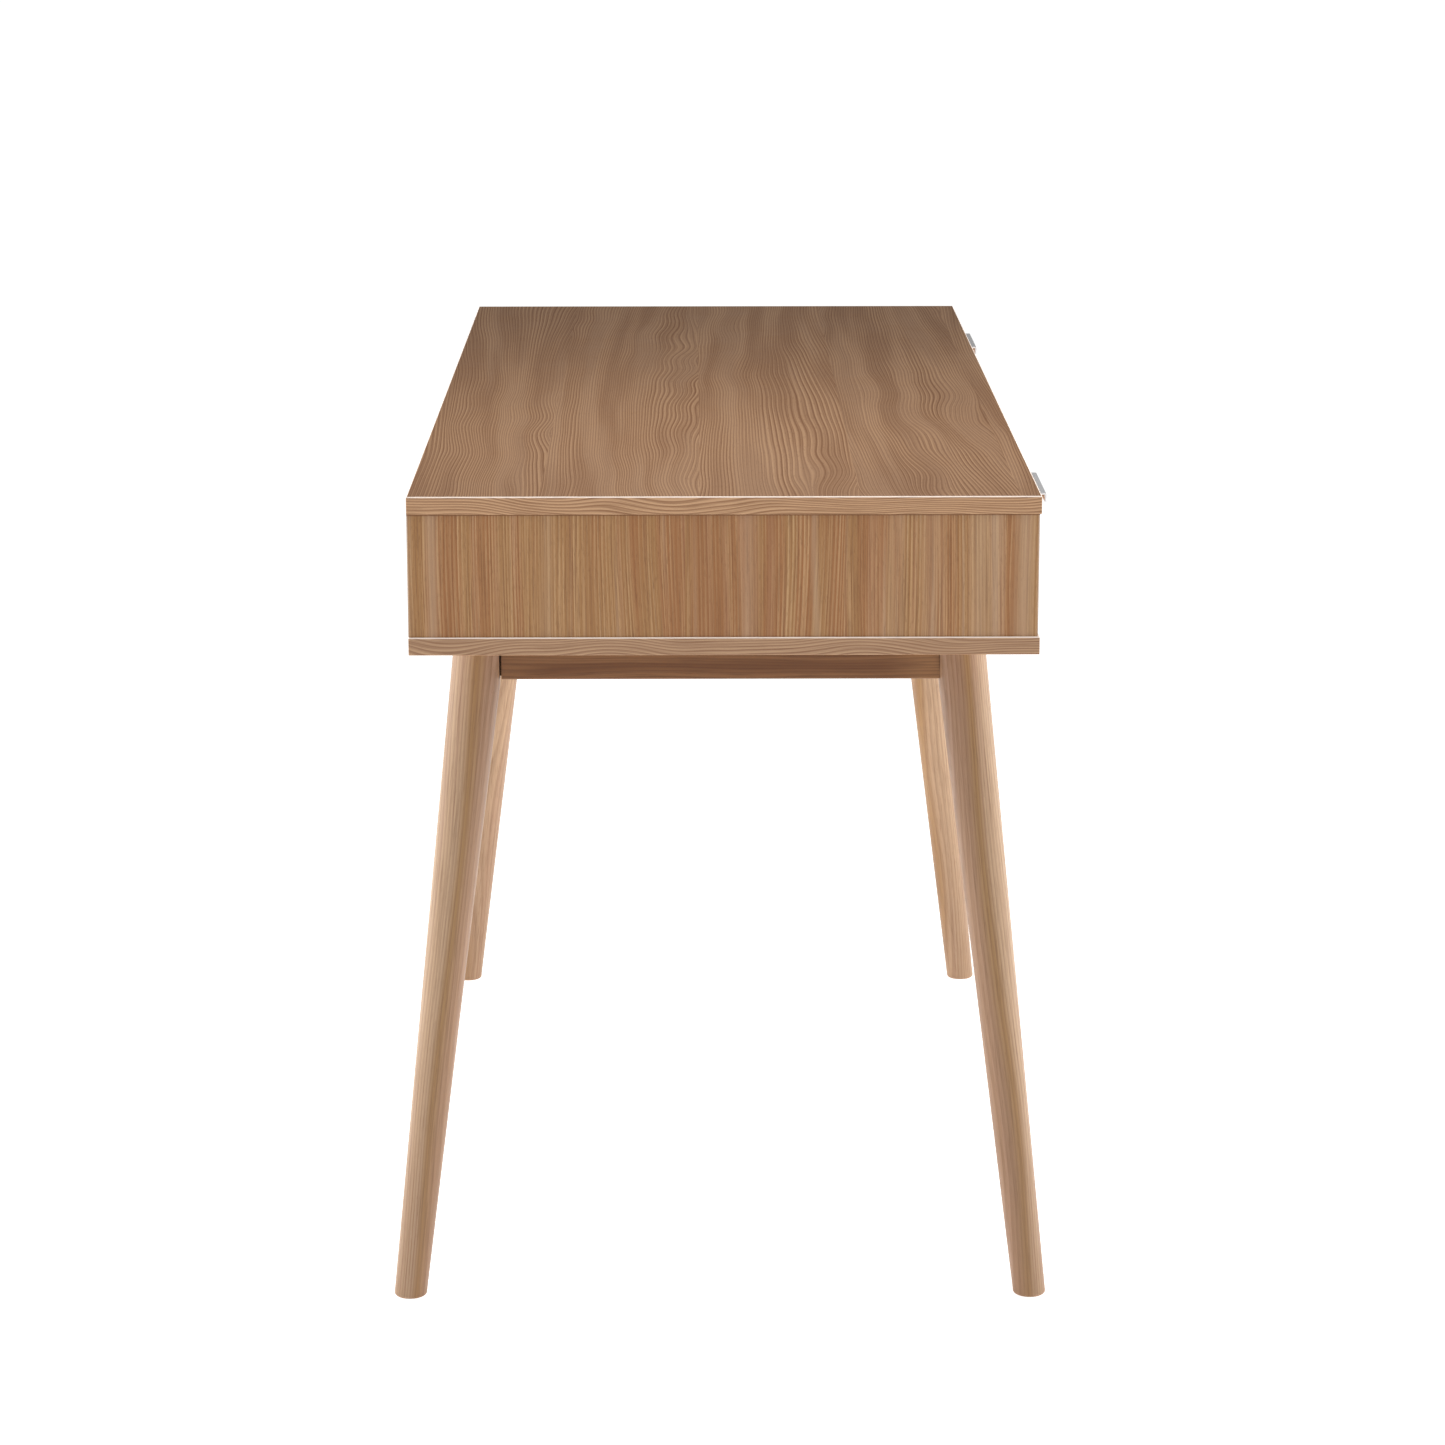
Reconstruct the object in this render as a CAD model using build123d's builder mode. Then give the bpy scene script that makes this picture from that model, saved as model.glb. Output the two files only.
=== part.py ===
"""Writing desk with drawers: a veneered case on four splayed round legs.

The case holds a drawer at each end and an open cubby between them. Each drawer runs on a pair of steel
runners and is opened by a slim metal pull that hooks over its front, just under the desk top.

Frame: millimetres, +Z up, +X along the desk to the user's right, the drawers face -Y. The origin is on the
floor, midway between the four feet. The left drawer and the left end are at -X.
"""

from build123d import *
import math
import os

# ---------------------------------------------------------------- driving dimensions
LENGTH = 1200.0
TOP_DEPTH = 518.0
HEIGHT = 730.0
BOARD = 15.0
CASE_INSIDE = 102.0
FRONT_OFFSET = 3.0          # the case stands this far towards the user from the middle of the feet
END_INSET = 1.5             # the top and bottom boards reach past the end panels
FRONT_INSET = 1.5           # and past the drawer fronts
EDGE_ROUND = 0.8
FRONT_THICK = 15.0
DRAWER_FRONT_WIDTH = 277.0
DRAWER_GAP = 2.0            # gap beside and below a drawer front
PULL_GAP = 2.5              # gap above a drawer front, which the pull's plate passes through

LEG_TOP_RADIUS = 22.0
LEG_FOOT_RADIUS = 14.2
LEG_TOP_X = 465.4
LEG_TOP_Y = 202.7
LEG_FOOT_X = 486.9
LEG_FOOT_Y = 272.0
LEG_SPARE = 20.0            # blank left at each end of a leg, before the ends are sawn level
FOOT_ROUND = 2.6
FLAT_X = 447.4              # milled flats on the legs, which the rails butt against
FLAT_Y = 187.5
RAIL_THICK = 18.0
RAIL_HEIGHT = 48.0
RAIL_END_GAP = 1.6          # groove at the back end of each end rail, outside its tongue
RAIL_TONGUE = 9.0           # thickness of that tongue
RAIL_ROUND = 1.5

SLIDE_SPACE = 12.7          # between a drawer side and the board beside it
RUNNER_LENGTH = 350.0
TRAVEL = 270.0
STEEL = 1.2
SIDE_THICK = 12.0
SIDE_LENGTH = 400.0
CAM_SLOT_DEPTH = 1.5
FIT = 0.1                   # radial room round each fastener
LOOSE_FIT = 0.4             # and where a screw or bolt passes through a metal sheet

# ---------------------------------------------------------------- levels and faces
BOTTOM_Z = HEIGHT - 2 * BOARD - CASE_INSIDE
CASE_Z0 = BOTTOM_Z + BOARD
CASE_Z1 = HEIGHT - BOARD
TOP_FRONT = -TOP_DEPTH / 2 - FRONT_OFFSET
TOP_BACK = TOP_DEPTH / 2 - FRONT_OFFSET
PANEL_FRONT = TOP_FRONT + FRONT_INSET
BACK_INNER = TOP_BACK - BOARD
END_OUTER = LENGTH / 2 - END_INSET
END_INNER = END_OUTER - BOARD
DIVIDER_OUTER = END_INNER - DRAWER_FRONT_WIDTH - 2 * DRAWER_GAP
DIVIDER_INNER = DIVIDER_OUTER - BOARD
RAIL_X = LEG_TOP_X
RAIL_Y = 205.0
RAIL_Z0 = BOTTOM_Z - RAIL_HEIGHT
RAIL_INNER_X = RAIL_X - RAIL_THICK / 2
RAIL_INNER_Y = RAIL_Y - RAIL_THICK / 2

CORNERS = {
    "front_left": (-1, -1),
    "front_right": (1, -1),
    "back_left": (-1, 1),
    "back_right": (1, 1),
}
SIDES = {"left": -1, "right": 1}

os.makedirs("parts", exist_ok=True)


def save(piece, name):
    """Label a finished piece and write its file."""
    piece.part.label = name
    export_step(piece.part, f"parts/{name}.step")


def slab(x_range, y_range, z_range, mode=Mode.ADD):
    """A board, or a cut of that shape, given by two X, two Y and two Z coordinates."""
    spans = [sorted(span) for span in (x_range, y_range, z_range)]
    with Locations(tuple((low + high) / 2 for low, high in spans)):
        Box(*[high - low for low, high in spans], mode=mode)


def drill(spots, into, radius, depth):
    """Blind holes of one size in the open part, each from its spot along the direction into."""
    away = -Vector(*into)
    for spot in spots:
        with Locations(Plane(origin=spot, z_dir=away)):
            Hole(radius, depth)


def copies(one, places):
    """A group of equal fasteners: each place is a spot and the direction that its shank points in."""
    with BuildPart() as group:
        for spot, into in places:
            with Locations(Plane(origin=spot, z_dir=-Vector(*into))):
                add(one)
    return group


def wood_screw(radius, length, head_radius, head_height):
    """A cross-head screw: the underside of its head is at the origin and its shank runs down -Z."""
    tip = 2.5 * radius
    with BuildPart() as screw:
        with BuildSketch(Plane.XZ):
            with BuildLine():
                Polyline(
                    (0, -length), (radius, tip - length), (radius, 0), (head_radius, 0),
                    (head_radius, head_height * 0.4), (head_radius * 0.6, head_height),
                    (0, head_height), close=True,
                )
            make_face()
        revolve(axis=Axis.Z)
        with BuildSketch(Plane.XY.offset(head_height)):
            Rectangle(head_radius, head_radius * 0.25)
            Rectangle(head_radius * 0.25, head_radius)
        extrude(amount=-head_height * 0.6, mode=Mode.SUBTRACT)
    return screw.part


def flush_screw(radius, length, head_radius, head_length):
    """A hex-socket case screw whose head sinks flush: its face is at the origin, its shank runs down -Z."""
    with BuildPart() as screw:
        Cylinder(radius, length, align=(Align.CENTER, Align.CENTER, Align.MAX))
        Cylinder(head_radius, head_length, align=(Align.CENTER, Align.CENTER, Align.MAX))
        with BuildSketch(Plane.XY):
            RegularPolygon(head_radius * 0.55, 6)
        extrude(amount=-head_length * 0.7, mode=Mode.SUBTRACT)
    return screw.part


def drill_flush(spots, into, screw, thickness):
    """Stepped holes for flush screws, through a board of one thickness."""
    drill(spots, into, screw["radius"] + FIT, thickness)
    drill(spots, into, screw["head_radius"] + FIT, screw["head_length"])


def cam_disc(radius, height):
    """A cam lock: a disc with a cross slot in its outer face, which is at the origin; it reaches down -Z."""
    with BuildPart() as cam:
        Cylinder(radius, height, align=(Align.CENTER, Align.CENTER, Align.MAX))
        with BuildSketch(Plane.XY):
            Rectangle(radius, radius * 0.22)
            Rectangle(radius * 0.22, radius)
        extrude(amount=-CAM_SLOT_DEPTH, mode=Mode.SUBTRACT)
    return cam.part


def rod(radius, length):
    """A plain fastener shank from the origin down -Z."""
    with BuildPart() as shank:
        Cylinder(radius, length, align=(Align.CENTER, Align.CENTER, Align.MAX))
    return shank.part


# ---------------------------------------------------------------- fasteners of the case
CASE_SCREW = {"radius": 2.5, "length": 50.0, "head_radius": 4.5, "head_length": 4.0}
BACK_SCREW = {"radius": 2.0, "length": 38.0, "head_radius": 3.5, "head_length": 3.0}
CAM = {"radius": 7.5, "depth": 12.5, "drop": 24.0}
CAM_BOLT = {"radius": 3.0, "grip": 10.0}
CAM_Y = (-180.0, 180.0)
BACK_CAM_X = (-440.0, 440.0)
END_SCREW_Y = (-200.0, 0.0, 200.0)
DIVIDER_SCREW_Y = (-150.0, 0.0, 150.0)
BACK_SCREW_X = (-400.0, 0.0, 400.0)

END_MIDDLE = END_INNER + BOARD / 2
DIVIDER_MIDDLE = DIVIDER_INNER + BOARD / 2
BACK_MIDDLE = BACK_INNER + BOARD / 2
CAM_Z = CASE_Z1 - CAM["drop"]
CAM_RIM_Z = CAM_Z + CAM["radius"]


def screws_from_below(x, y_places):
    """The spots of the case screws under one upright board."""
    return [(x, y, BOTTOM_Z) for y in y_places]


case_screw_spots = []
for side in SIDES.values():
    case_screw_spots += screws_from_below(side * END_MIDDLE, END_SCREW_Y)
    case_screw_spots += screws_from_below(side * DIVIDER_MIDDLE, DIVIDER_SCREW_Y)
case_screw_spots += [(x, BACK_MIDDLE, BOTTOM_Z) for x in BACK_SCREW_X]

cam_bolt_spots = [(x, BACK_MIDDLE, CASE_Z1) for x in BACK_CAM_X]
for side in SIDES.values():
    cam_bolt_spots += [(side * END_MIDDLE, y, CASE_Z1) for y in CAM_Y]
    cam_bolt_spots += [(side * DIVIDER_MIDDLE, y, CASE_Z1) for y in CAM_Y]

# ---------------------------------------------------------------- desk top and case bottom
RAIL_SCREW = {"radius": 2.0, "length": 34.0, "head_radius": 4.0, "head_height": 2.4}
RAIL_SCREW_SINK = 26.0
RAIL_SCREW_BITE = RAIL_SCREW_SINK + RAIL_SCREW["length"] - RAIL_HEIGHT
LONG_RAIL_SCREW_X = (-330.0, 0.0, 330.0)
END_RAIL_SCREW_Y = (-120.0, 120.0)

long_rail_spots = [(x, side * RAIL_Y) for side in SIDES.values() for x in LONG_RAIL_SCREW_X]
end_rail_spots = [(side * RAIL_X, y) for side in SIDES.values() for y in END_RAIL_SCREW_Y]
rail_spots = long_rail_spots + end_rail_spots

with BuildPart() as desk_top:
    slab((-LENGTH / 2, LENGTH / 2), (TOP_FRONT, TOP_BACK), (CASE_Z1, HEIGHT))
    fillet(desk_top.edges(), EDGE_ROUND)
    drill(cam_bolt_spots, (0, 0, 1), CAM_BOLT["radius"] + FIT, CAM_BOLT["grip"])
save(desk_top, "desk_top")

with BuildPart() as case_bottom:
    slab((-LENGTH / 2, LENGTH / 2), (TOP_FRONT, TOP_BACK), (BOTTOM_Z, CASE_Z0))
    fillet(case_bottom.edges(), EDGE_ROUND)
    drill_flush(case_screw_spots, (0, 0, 1), CASE_SCREW, BOARD)
    drill([(x, y, BOTTOM_Z) for x, y in rail_spots], (0, 0, 1), RAIL_SCREW["radius"] + FIT, RAIL_SCREW_BITE)
save(case_bottom, "case_bottom")

# ---------------------------------------------------------------- runner positions, shared with the drawers
RUNNER_Z = 655.0
RUNNER_SETBACK = 19.0       # from the drawer fronts' outer faces
RUNNER_FRONT = PANEL_FRONT + RUNNER_SETBACK
RUNNER_BACK = RUNNER_FRONT + RUNNER_LENGTH
CASE_RUNNER_HEIGHT = 32.0
CASE_RUNNER_DEPTH = 9.5
BOX_RUNNER_HEIGHT = 25.0
BOX_RUNNER_DEPTH = 8.7
GLIDE_THICK = 2.0
GLIDE_GAP = 0.6             # between a glide and the web of its runner
GLIDE_REACH = 8.5
GLIDE_STOP = 1.0            # left between the glides when a drawer is fully out
GLIDE_LENGTH = (RUNNER_LENGTH - TRAVEL - GLIDE_STOP) / 2
CASE_RUNNER_SCREW_Y = (-190.0, -40.0, 80.0)
BOX_RUNNER_SCREW_Y = (-170.0, -60.0, 90.0)
CASE_RUNNER_SCREW = {"radius": 1.8, "length": 13.0, "head_radius": 3.6, "head_height": 2.0}
BOX_RUNNER_SCREW = {"radius": 1.8, "length": 10.0, "head_radius": 3.6, "head_height": 2.0}


def upright(side, inner, front, back, cam_face, screw_y_places):
    """An end panel or divider: its cams open on the face turned to the drawer.

    side and cam_face are signs along X, inner is the face nearer the middle of the desk.
    """
    middle = side * (inner + BOARD / 2)
    face = middle + cam_face * BOARD / 2
    with BuildPart() as panel:
        slab((side * inner, side * (inner + BOARD)), (front, back), (CASE_Z0, CASE_Z1))
        drill([(face, y, CAM_Z) for y in CAM_Y], (-cam_face, 0, 0), CAM["radius"] + FIT, CAM["depth"])
        drill([(middle, y, CASE_Z1) for y in CAM_Y], (0, 0, -1), CAM_BOLT["radius"] + FIT, CAM["drop"])
        drill([(middle, y, CASE_Z0) for y in screw_y_places], (0, 0, 1), CASE_SCREW["radius"] + FIT,
              CASE_SCREW["length"] - BOARD)
        drill([(face, y, RUNNER_Z) for y in CASE_RUNNER_SCREW_Y], (-cam_face, 0, 0),
              CASE_RUNNER_SCREW["radius"] + FIT, CASE_RUNNER_SCREW["length"] - STEEL)
    return panel


for name, side in SIDES.items():
    save(upright(side, END_INNER, PANEL_FRONT, TOP_BACK, -side, END_SCREW_Y), f"end_panel_{name}")
    save(upright(side, DIVIDER_INNER, PANEL_FRONT, BACK_INNER, side, DIVIDER_SCREW_Y), f"divider_{name}")

with BuildPart() as back_panel:
    slab((-END_INNER, END_INNER), (BACK_INNER, TOP_BACK), (CASE_Z0, CASE_Z1))
    drill([(x, BACK_INNER, CAM_Z) for x in BACK_CAM_X], (0, 1, 0), CAM["radius"] + FIT, CAM["depth"])
    drill([(x, BACK_MIDDLE, CASE_Z1) for x in BACK_CAM_X], (0, 0, -1), CAM_BOLT["radius"] + FIT, CAM["drop"])
    drill([(x, BACK_MIDDLE, CASE_Z0) for x in BACK_SCREW_X], (0, 0, 1), CASE_SCREW["radius"] + FIT,
          CASE_SCREW["length"] - BOARD)
save(back_panel, "back_panel")

case_screws = copies(flush_screw(**CASE_SCREW), [(spot, (0, 0, 1)) for spot in case_screw_spots])
save(case_screws, "case_screws")

cam_places = [((x, BACK_INNER, CAM_Z), (0, 1, 0)) for x in BACK_CAM_X]
for side in SIDES.values():
    for y in CAM_Y:
        cam_places.append(((side * END_INNER, y, CAM_Z), (side, 0, 0)))
        cam_places.append(((side * DIVIDER_OUTER, y, CAM_Z), (-side, 0, 0)))
top_cams = copies(cam_disc(CAM["radius"] - FIT, CAM["depth"] - FIT), cam_places)
save(top_cams, "top_cams")

cam_bolt = rod(CAM_BOLT["radius"], CAM_BOLT["grip"] + CASE_Z1 - CAM_RIM_Z)
top_cam_bolts = copies(cam_bolt, [((x, y, z + CAM_BOLT["grip"]), (0, 0, -1)) for x, y, z in cam_bolt_spots])
save(top_cam_bolts, "top_cam_bolts")

# ---------------------------------------------------------------- legs
BOLT_RADIUS = 4.0
BOLT_Z = BOTTOM_Z - RAIL_HEIGHT / 2
BOLT_PAST_AXIS = 6.0
BRACKET_REACH = 58.0        # from the leg's axis to the bends of a bracket
BRACKET_TAB = 22.0
BRACKET_THICK = 2.5
BRACKET_HEIGHT = 38.0
NUT_HEIGHT = 6.5
NUT_HALF_WIDTH = 6.5        # across flats, halved
WASHER_THICK = 1.6
WASHER_RADIUS = 8.0
BOLT_PAST_NUT = 4.0
DIAGONAL = math.sqrt(2)


def corner_point(signs, along_x, along_y, z=BOLT_Z):
    """A point given by its distances from a leg's axis towards the middle of the desk."""
    return (signs[0] * (RAIL_X - along_x), signs[1] * (RAIL_Y - along_y), z)


def outward(signs):
    """The level direction from the middle of a bracket towards its leg."""
    return (signs[0] / DIAGONAL, signs[1] / DIAGONAL, 0)


for name, signs in CORNERS.items():
    foot = Vector(signs[0] * LEG_FOOT_X, signs[1] * LEG_FOOT_Y, 0)
    crown = Vector(signs[0] * LEG_TOP_X, signs[1] * LEG_TOP_Y, BOTTOM_Z)
    axis = (crown - foot).normalized()
    taper = (LEG_FOOT_RADIUS - LEG_TOP_RADIUS) / (crown - foot).length
    with BuildPart() as leg:
        with Locations(Plane(origin=foot - axis * LEG_SPARE, z_dir=axis)):
            Cone(LEG_FOOT_RADIUS + taper * LEG_SPARE, LEG_TOP_RADIUS - taper * LEG_SPARE,
                 (crown - foot).length + 2 * LEG_SPARE, align=(Align.CENTER, Align.CENTER, Align.MIN))
        split(bisect_by=Plane.XY, keep=Keep.TOP)
        split(bisect_by=Plane.XY.offset(BOTTOM_Z), keep=Keep.BOTTOM)
        fillet(leg.edges().group_by(Axis.Z)[0], FOOT_ROUND)
        split(bisect_by=Plane(origin=(signs[0] * FLAT_X, 0, 0), z_dir=(signs[0], 0, 0)), keep=Keep.TOP)
        split(bisect_by=Plane(origin=(0, signs[1] * FLAT_Y, 0), z_dir=(0, signs[1], 0)), keep=Keep.TOP)
        drill([corner_point(signs, LEG_TOP_RADIUS, LEG_TOP_RADIUS)], outward(signs), BOLT_RADIUS + FIT,
              LEG_TOP_RADIUS * DIAGONAL + BOLT_PAST_AXIS)
    save(leg, f"leg_{name}")

# ---------------------------------------------------------------- rails under the case
BRACKET_SCREW = {"radius": 1.8, "length": 15.0, "head_radius": 3.8, "head_height": 2.0}
BRACKET_SCREW_SPREAD = 9.0
BRACKET_SCREW_Z = (BOLT_Z - BRACKET_SCREW_SPREAD, BOLT_Z + BRACKET_SCREW_SPREAD)
TAB_MIDDLE = BRACKET_REACH + BRACKET_TAB / 2
BRACKET_BITE = BRACKET_SCREW["length"] - BRACKET_THICK


def rail_holes(spots, face_spots, into):
    """The deep screw holes up through a rail, and the small holes for its bracket screws."""
    for x, y in spots:
        drill([(x, y, RAIL_Z0)], (0, 0, 1), RAIL_SCREW["radius"] + FIT, RAIL_HEIGHT)
        drill([(x, y, RAIL_Z0)], (0, 0, 1), RAIL_SCREW["head_radius"] + LOOSE_FIT, RAIL_SCREW_SINK)
    drill(face_spots, into, BRACKET_SCREW["radius"] + FIT, BRACKET_BITE)


for name, side in (("front", -1), ("back", 1)):
    inner_face = side * RAIL_INNER_Y
    tab_x = RAIL_X - TAB_MIDDLE
    with BuildPart() as rail:
        slab((-FLAT_X, FLAT_X), (inner_face, inner_face + side * RAIL_THICK), (RAIL_Z0, BOTTOM_Z))
        fillet(rail.edges().filter_by(Axis.X).group_by(Axis.Z)[0], RAIL_ROUND)
        rail_holes(
            [(x, side * RAIL_Y) for x in LONG_RAIL_SCREW_X],
            [(x, inner_face, z) for x in (-tab_x, tab_x) for z in BRACKET_SCREW_Z],
            (0, side, 0),
        )
    save(rail, f"{name}_rail")

for name, side in SIDES.items():
    inner_face = side * RAIL_INNER_X
    tab_y = RAIL_Y - TAB_MIDDLE
    with BuildPart() as rail:
        slab((inner_face, inner_face + side * RAIL_THICK), (-FLAT_Y, FLAT_Y - RAIL_END_GAP),
             (RAIL_Z0, BOTTOM_Z))
        fillet(rail.edges().filter_by(Axis.Y).group_by(Axis.Z)[0], RAIL_ROUND)
        slab((inner_face, inner_face + side * RAIL_TONGUE), (FLAT_Y - RAIL_END_GAP, FLAT_Y),
             (RAIL_Z0 + RAIL_ROUND, BOTTOM_Z))
        rail_holes(
            [(side * RAIL_X, y) for y in END_RAIL_SCREW_Y],
            [(inner_face, y, z) for y in (-tab_y, tab_y) for z in BRACKET_SCREW_Z],
            (side, 0, 0),
        )
    save(rail, f"end_rail_{name}")

rail_screw_places = [((x, y, RAIL_Z0 + RAIL_SCREW_SINK), (0, 0, 1)) for x, y in rail_spots]
rail_screws = copies(wood_screw(**RAIL_SCREW), rail_screw_places)
save(rail_screws, "rail_screws")

# ---------------------------------------------------------------- corner brackets, bolts and nuts
NEAR = RAIL_THICK / 2                                   # the rails' inner faces, from the leg's axis
FAR = NEAR + BRACKET_THICK
TAB_END = BRACKET_REACH + BRACKET_TAB
INNER_BEND = BRACKET_REACH + NEAR + BRACKET_THICK * DIAGONAL - FAR
PLATE_MIDDLE = (BRACKET_REACH + NEAR) / 2               # the plate's outer face on the diagonal
PLATE_INNER = PLATE_MIDDLE + BRACKET_THICK / DIAGONAL
WASHER_FACE = PLATE_INNER + WASHER_THICK / DIAGONAL
BRACKET_OUTLINE = (
    (TAB_END, NEAR), (BRACKET_REACH, NEAR), (NEAR, BRACKET_REACH), (NEAR, TAB_END),
    (FAR, TAB_END), (FAR, INNER_BEND), (INNER_BEND, FAR), (TAB_END, FAR),
)

for name, signs in CORNERS.items():
    hole_radius = BRACKET_SCREW["radius"] + LOOSE_FIT
    with BuildPart() as corner_bracket:
        with BuildSketch(Plane.XY.offset(BOLT_Z - BRACKET_HEIGHT / 2)):
            with BuildLine():
                Polyline(*[corner_point(signs, a, b)[:2] for a, b in BRACKET_OUTLINE], close=True)
            make_face()
        extrude(amount=BRACKET_HEIGHT)
        drill([corner_point(signs, PLATE_INNER, PLATE_INNER)], outward(signs), BOLT_RADIUS + LOOSE_FIT,
              BRACKET_THICK)
        for z in BRACKET_SCREW_Z:
            drill([corner_point(signs, TAB_MIDDLE, FAR, z)], (0, signs[1], 0), hole_radius, BRACKET_THICK)
            drill([corner_point(signs, FAR, TAB_MIDDLE, z)], (signs[0], 0, 0), hole_radius, BRACKET_THICK)
    save(corner_bracket, f"corner_bracket_{name}")

bracket_screw_places = []
for signs in CORNERS.values():
    for z in BRACKET_SCREW_Z:
        bracket_screw_places.append((corner_point(signs, TAB_MIDDLE, FAR, z), (0, signs[1], 0)))
        bracket_screw_places.append((corner_point(signs, FAR, TAB_MIDDLE, z), (signs[0], 0, 0)))
bracket_screws = copies(wood_screw(**BRACKET_SCREW), bracket_screw_places)
save(bracket_screws, "bracket_screws")

BOLT_END = WASHER_FACE * DIAGONAL + NUT_HEIGHT + BOLT_PAST_NUT  # the bolt's free end, from the leg's axis
bolt_reach = BOLT_END / DIAGONAL
bolt_places = [(corner_point(signs, bolt_reach, bolt_reach), outward(signs)) for signs in CORNERS.values()]
hanger_bolts = copies(rod(BOLT_RADIUS, BOLT_END + BOLT_PAST_AXIS), bolt_places)
save(hanger_bolts, "hanger_bolts")

with BuildPart() as leg_nuts:
    for signs in CORNERS.values():
        seat = Plane(origin=corner_point(signs, PLATE_INNER, PLATE_INNER), z_dir=-Vector(*outward(signs)))
        with BuildSketch(seat):
            Circle(WASHER_RADIUS)
            Circle(BOLT_RADIUS + FIT, mode=Mode.SUBTRACT)
        extrude(amount=WASHER_THICK)
        with BuildSketch(seat.offset(WASHER_THICK)):
            RegularPolygon(NUT_HALF_WIDTH, 6, major_radius=False)
            Circle(BOLT_RADIUS + FIT, mode=Mode.SUBTRACT)
        extrude(amount=NUT_HEIGHT)
save(leg_nuts, "leg_nuts")


# ---------------------------------------------------------------- drawer runners
def channel(web_x, opens, height, depth, back):
    """A steel runner: a C section along Y whose web lies on the plane X = web_x and opens along opens."""
    half = height / 2
    outline = [
        (0, -half), (depth, -half), (depth, STEEL - half), (STEEL, STEEL - half),
        (STEEL, half - STEEL), (depth, half - STEEL), (depth, half), (0, half),
    ]
    with BuildPart() as runner:
        with BuildSketch(Plane.XZ.offset(-back)):
            with BuildLine():
                Polyline(*[(web_x + opens * u, RUNNER_Z + v) for u, v in outline], close=True)
            make_face()
        extrude(amount=RUNNER_LENGTH)
    return runner.part


def glides(web_x, opens, section, y_range):
    """A pair of nylon glides on the flanges of one runner, one above and one below.

    section gives the upper one's two heights from the runner's middle.
    """
    reach = (web_x + opens * (STEEL + GLIDE_GAP), web_x + opens * GLIDE_REACH)
    for sign in (-1, 1):
        slab(reach, y_range, [RUNNER_Z + sign * level for level in section])


case_inner_half = CASE_RUNNER_HEIGHT / 2 - STEEL
box_outer_half = BOX_RUNNER_HEIGHT / 2
case_glide_section = (case_inner_half - GLIDE_THICK, case_inner_half)
box_glide_section = (box_outer_half, box_outer_half + GLIDE_THICK)
runner_places = {
    "outer": (END_INNER, -1),
    "inner": (DIVIDER_OUTER, 1),
}

for name, side in SIDES.items():
    for place, (face, opens) in runner_places.items():
        with BuildPart() as case_runner:
            add(channel(side * face, side * opens, CASE_RUNNER_HEIGHT, CASE_RUNNER_DEPTH, RUNNER_BACK))
            drill([(side * (face + opens * STEEL), y, RUNNER_Z) for y in CASE_RUNNER_SCREW_Y],
                  (-side * opens, 0, 0), CASE_RUNNER_SCREW["radius"] + FIT, STEEL)
        save(case_runner, f"case_runner_{name}_{place}")

with BuildPart() as case_runner_glides:
    for side in SIDES.values():
        for face, opens in runner_places.values():
            glides(side * face, side * opens, case_glide_section, (RUNNER_FRONT, RUNNER_FRONT + GLIDE_LENGTH))
save(case_runner_glides, "case_runner_glides")

case_runner_screw_places = []
for side in SIDES.values():
    for face, opens in runner_places.values():
        web_face = side * (face + opens * STEEL)
        case_runner_screw_places += [((web_face, y, RUNNER_Z), (-side * opens, 0, 0))
                                     for y in CASE_RUNNER_SCREW_Y]
case_runner_screws = copies(wood_screw(**CASE_RUNNER_SCREW), case_runner_screw_places)
save(case_runner_screws, "case_runner_screws")

# ---------------------------------------------------------------- drawers
FRONT_Z0 = CASE_Z0 + DRAWER_GAP
FRONT_Z1 = CASE_Z1 - PULL_GAP
FRONT_BACK = PANEL_FRONT + FRONT_THICK
SIDE_BACK = FRONT_BACK + SIDE_LENGTH
SIDE_Z0 = 622.0
SIDE_Z1 = 700.0
OUTER_SIDE = END_INNER - SLIDE_SPACE                    # outer faces of the two drawer sides
INNER_SIDE = DIVIDER_OUTER + SLIDE_SPACE
FRONT_OUTER = END_INNER - DRAWER_GAP
FRONT_INNER = DIVIDER_OUTER + DRAWER_GAP
PANEL_THICK = 3.2
GROOVE_Z = 629.0
GROOVE_DEPTH = 6.0
GROOVE_PLAY = 0.3
BOX_BACK_FRONT = SIDE_BACK - SIDE_THICK

PULL_LENGTH = 103.0
PULL_SHEET = 1.5
PULL_REACH = 12.4           # how far the pull's lip stands out past the desk top's edge
PULL_LIP = 7.5
PULL_FLANGE = 24.0
PULL_BEND = 1.0             # outer radius of the bend behind the drawer front
PULL_SCREW = {"radius": 1.7, "length": 11.0, "head_radius": 3.4, "head_height": 1.8}
PULL_SCREW_SPREAD = 32.0
PULL_SCREW_DROP = 15.0
PULL_SCREW_Z = FRONT_Z1 - PULL_SCREW_DROP
DRAWER_CAM = {"radius": 6.0, "depth": 9.5, "setback": 24.0}
DRAWER_BOLT = {"radius": 2.5, "grip": 10.0}
FITTING_Z = (645.0, 686.0)
DRAWER_CAM_Y = FRONT_BACK + DRAWER_CAM["setback"]
BACK_SCREW_Y = SIDE_BACK - SIDE_THICK / 2
box_sides = {
    "outer": (OUTER_SIDE, -1),
    "inner": (INNER_SIDE, 1),
}


def bolt_lines(side):
    """The X and Z places of the bolts that join a drawer front to its sides."""
    middles = [side * (face + into * SIDE_THICK / 2) for face, into in box_sides.values()]
    return [(x, z) for x in middles for z in FITTING_Z]


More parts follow.
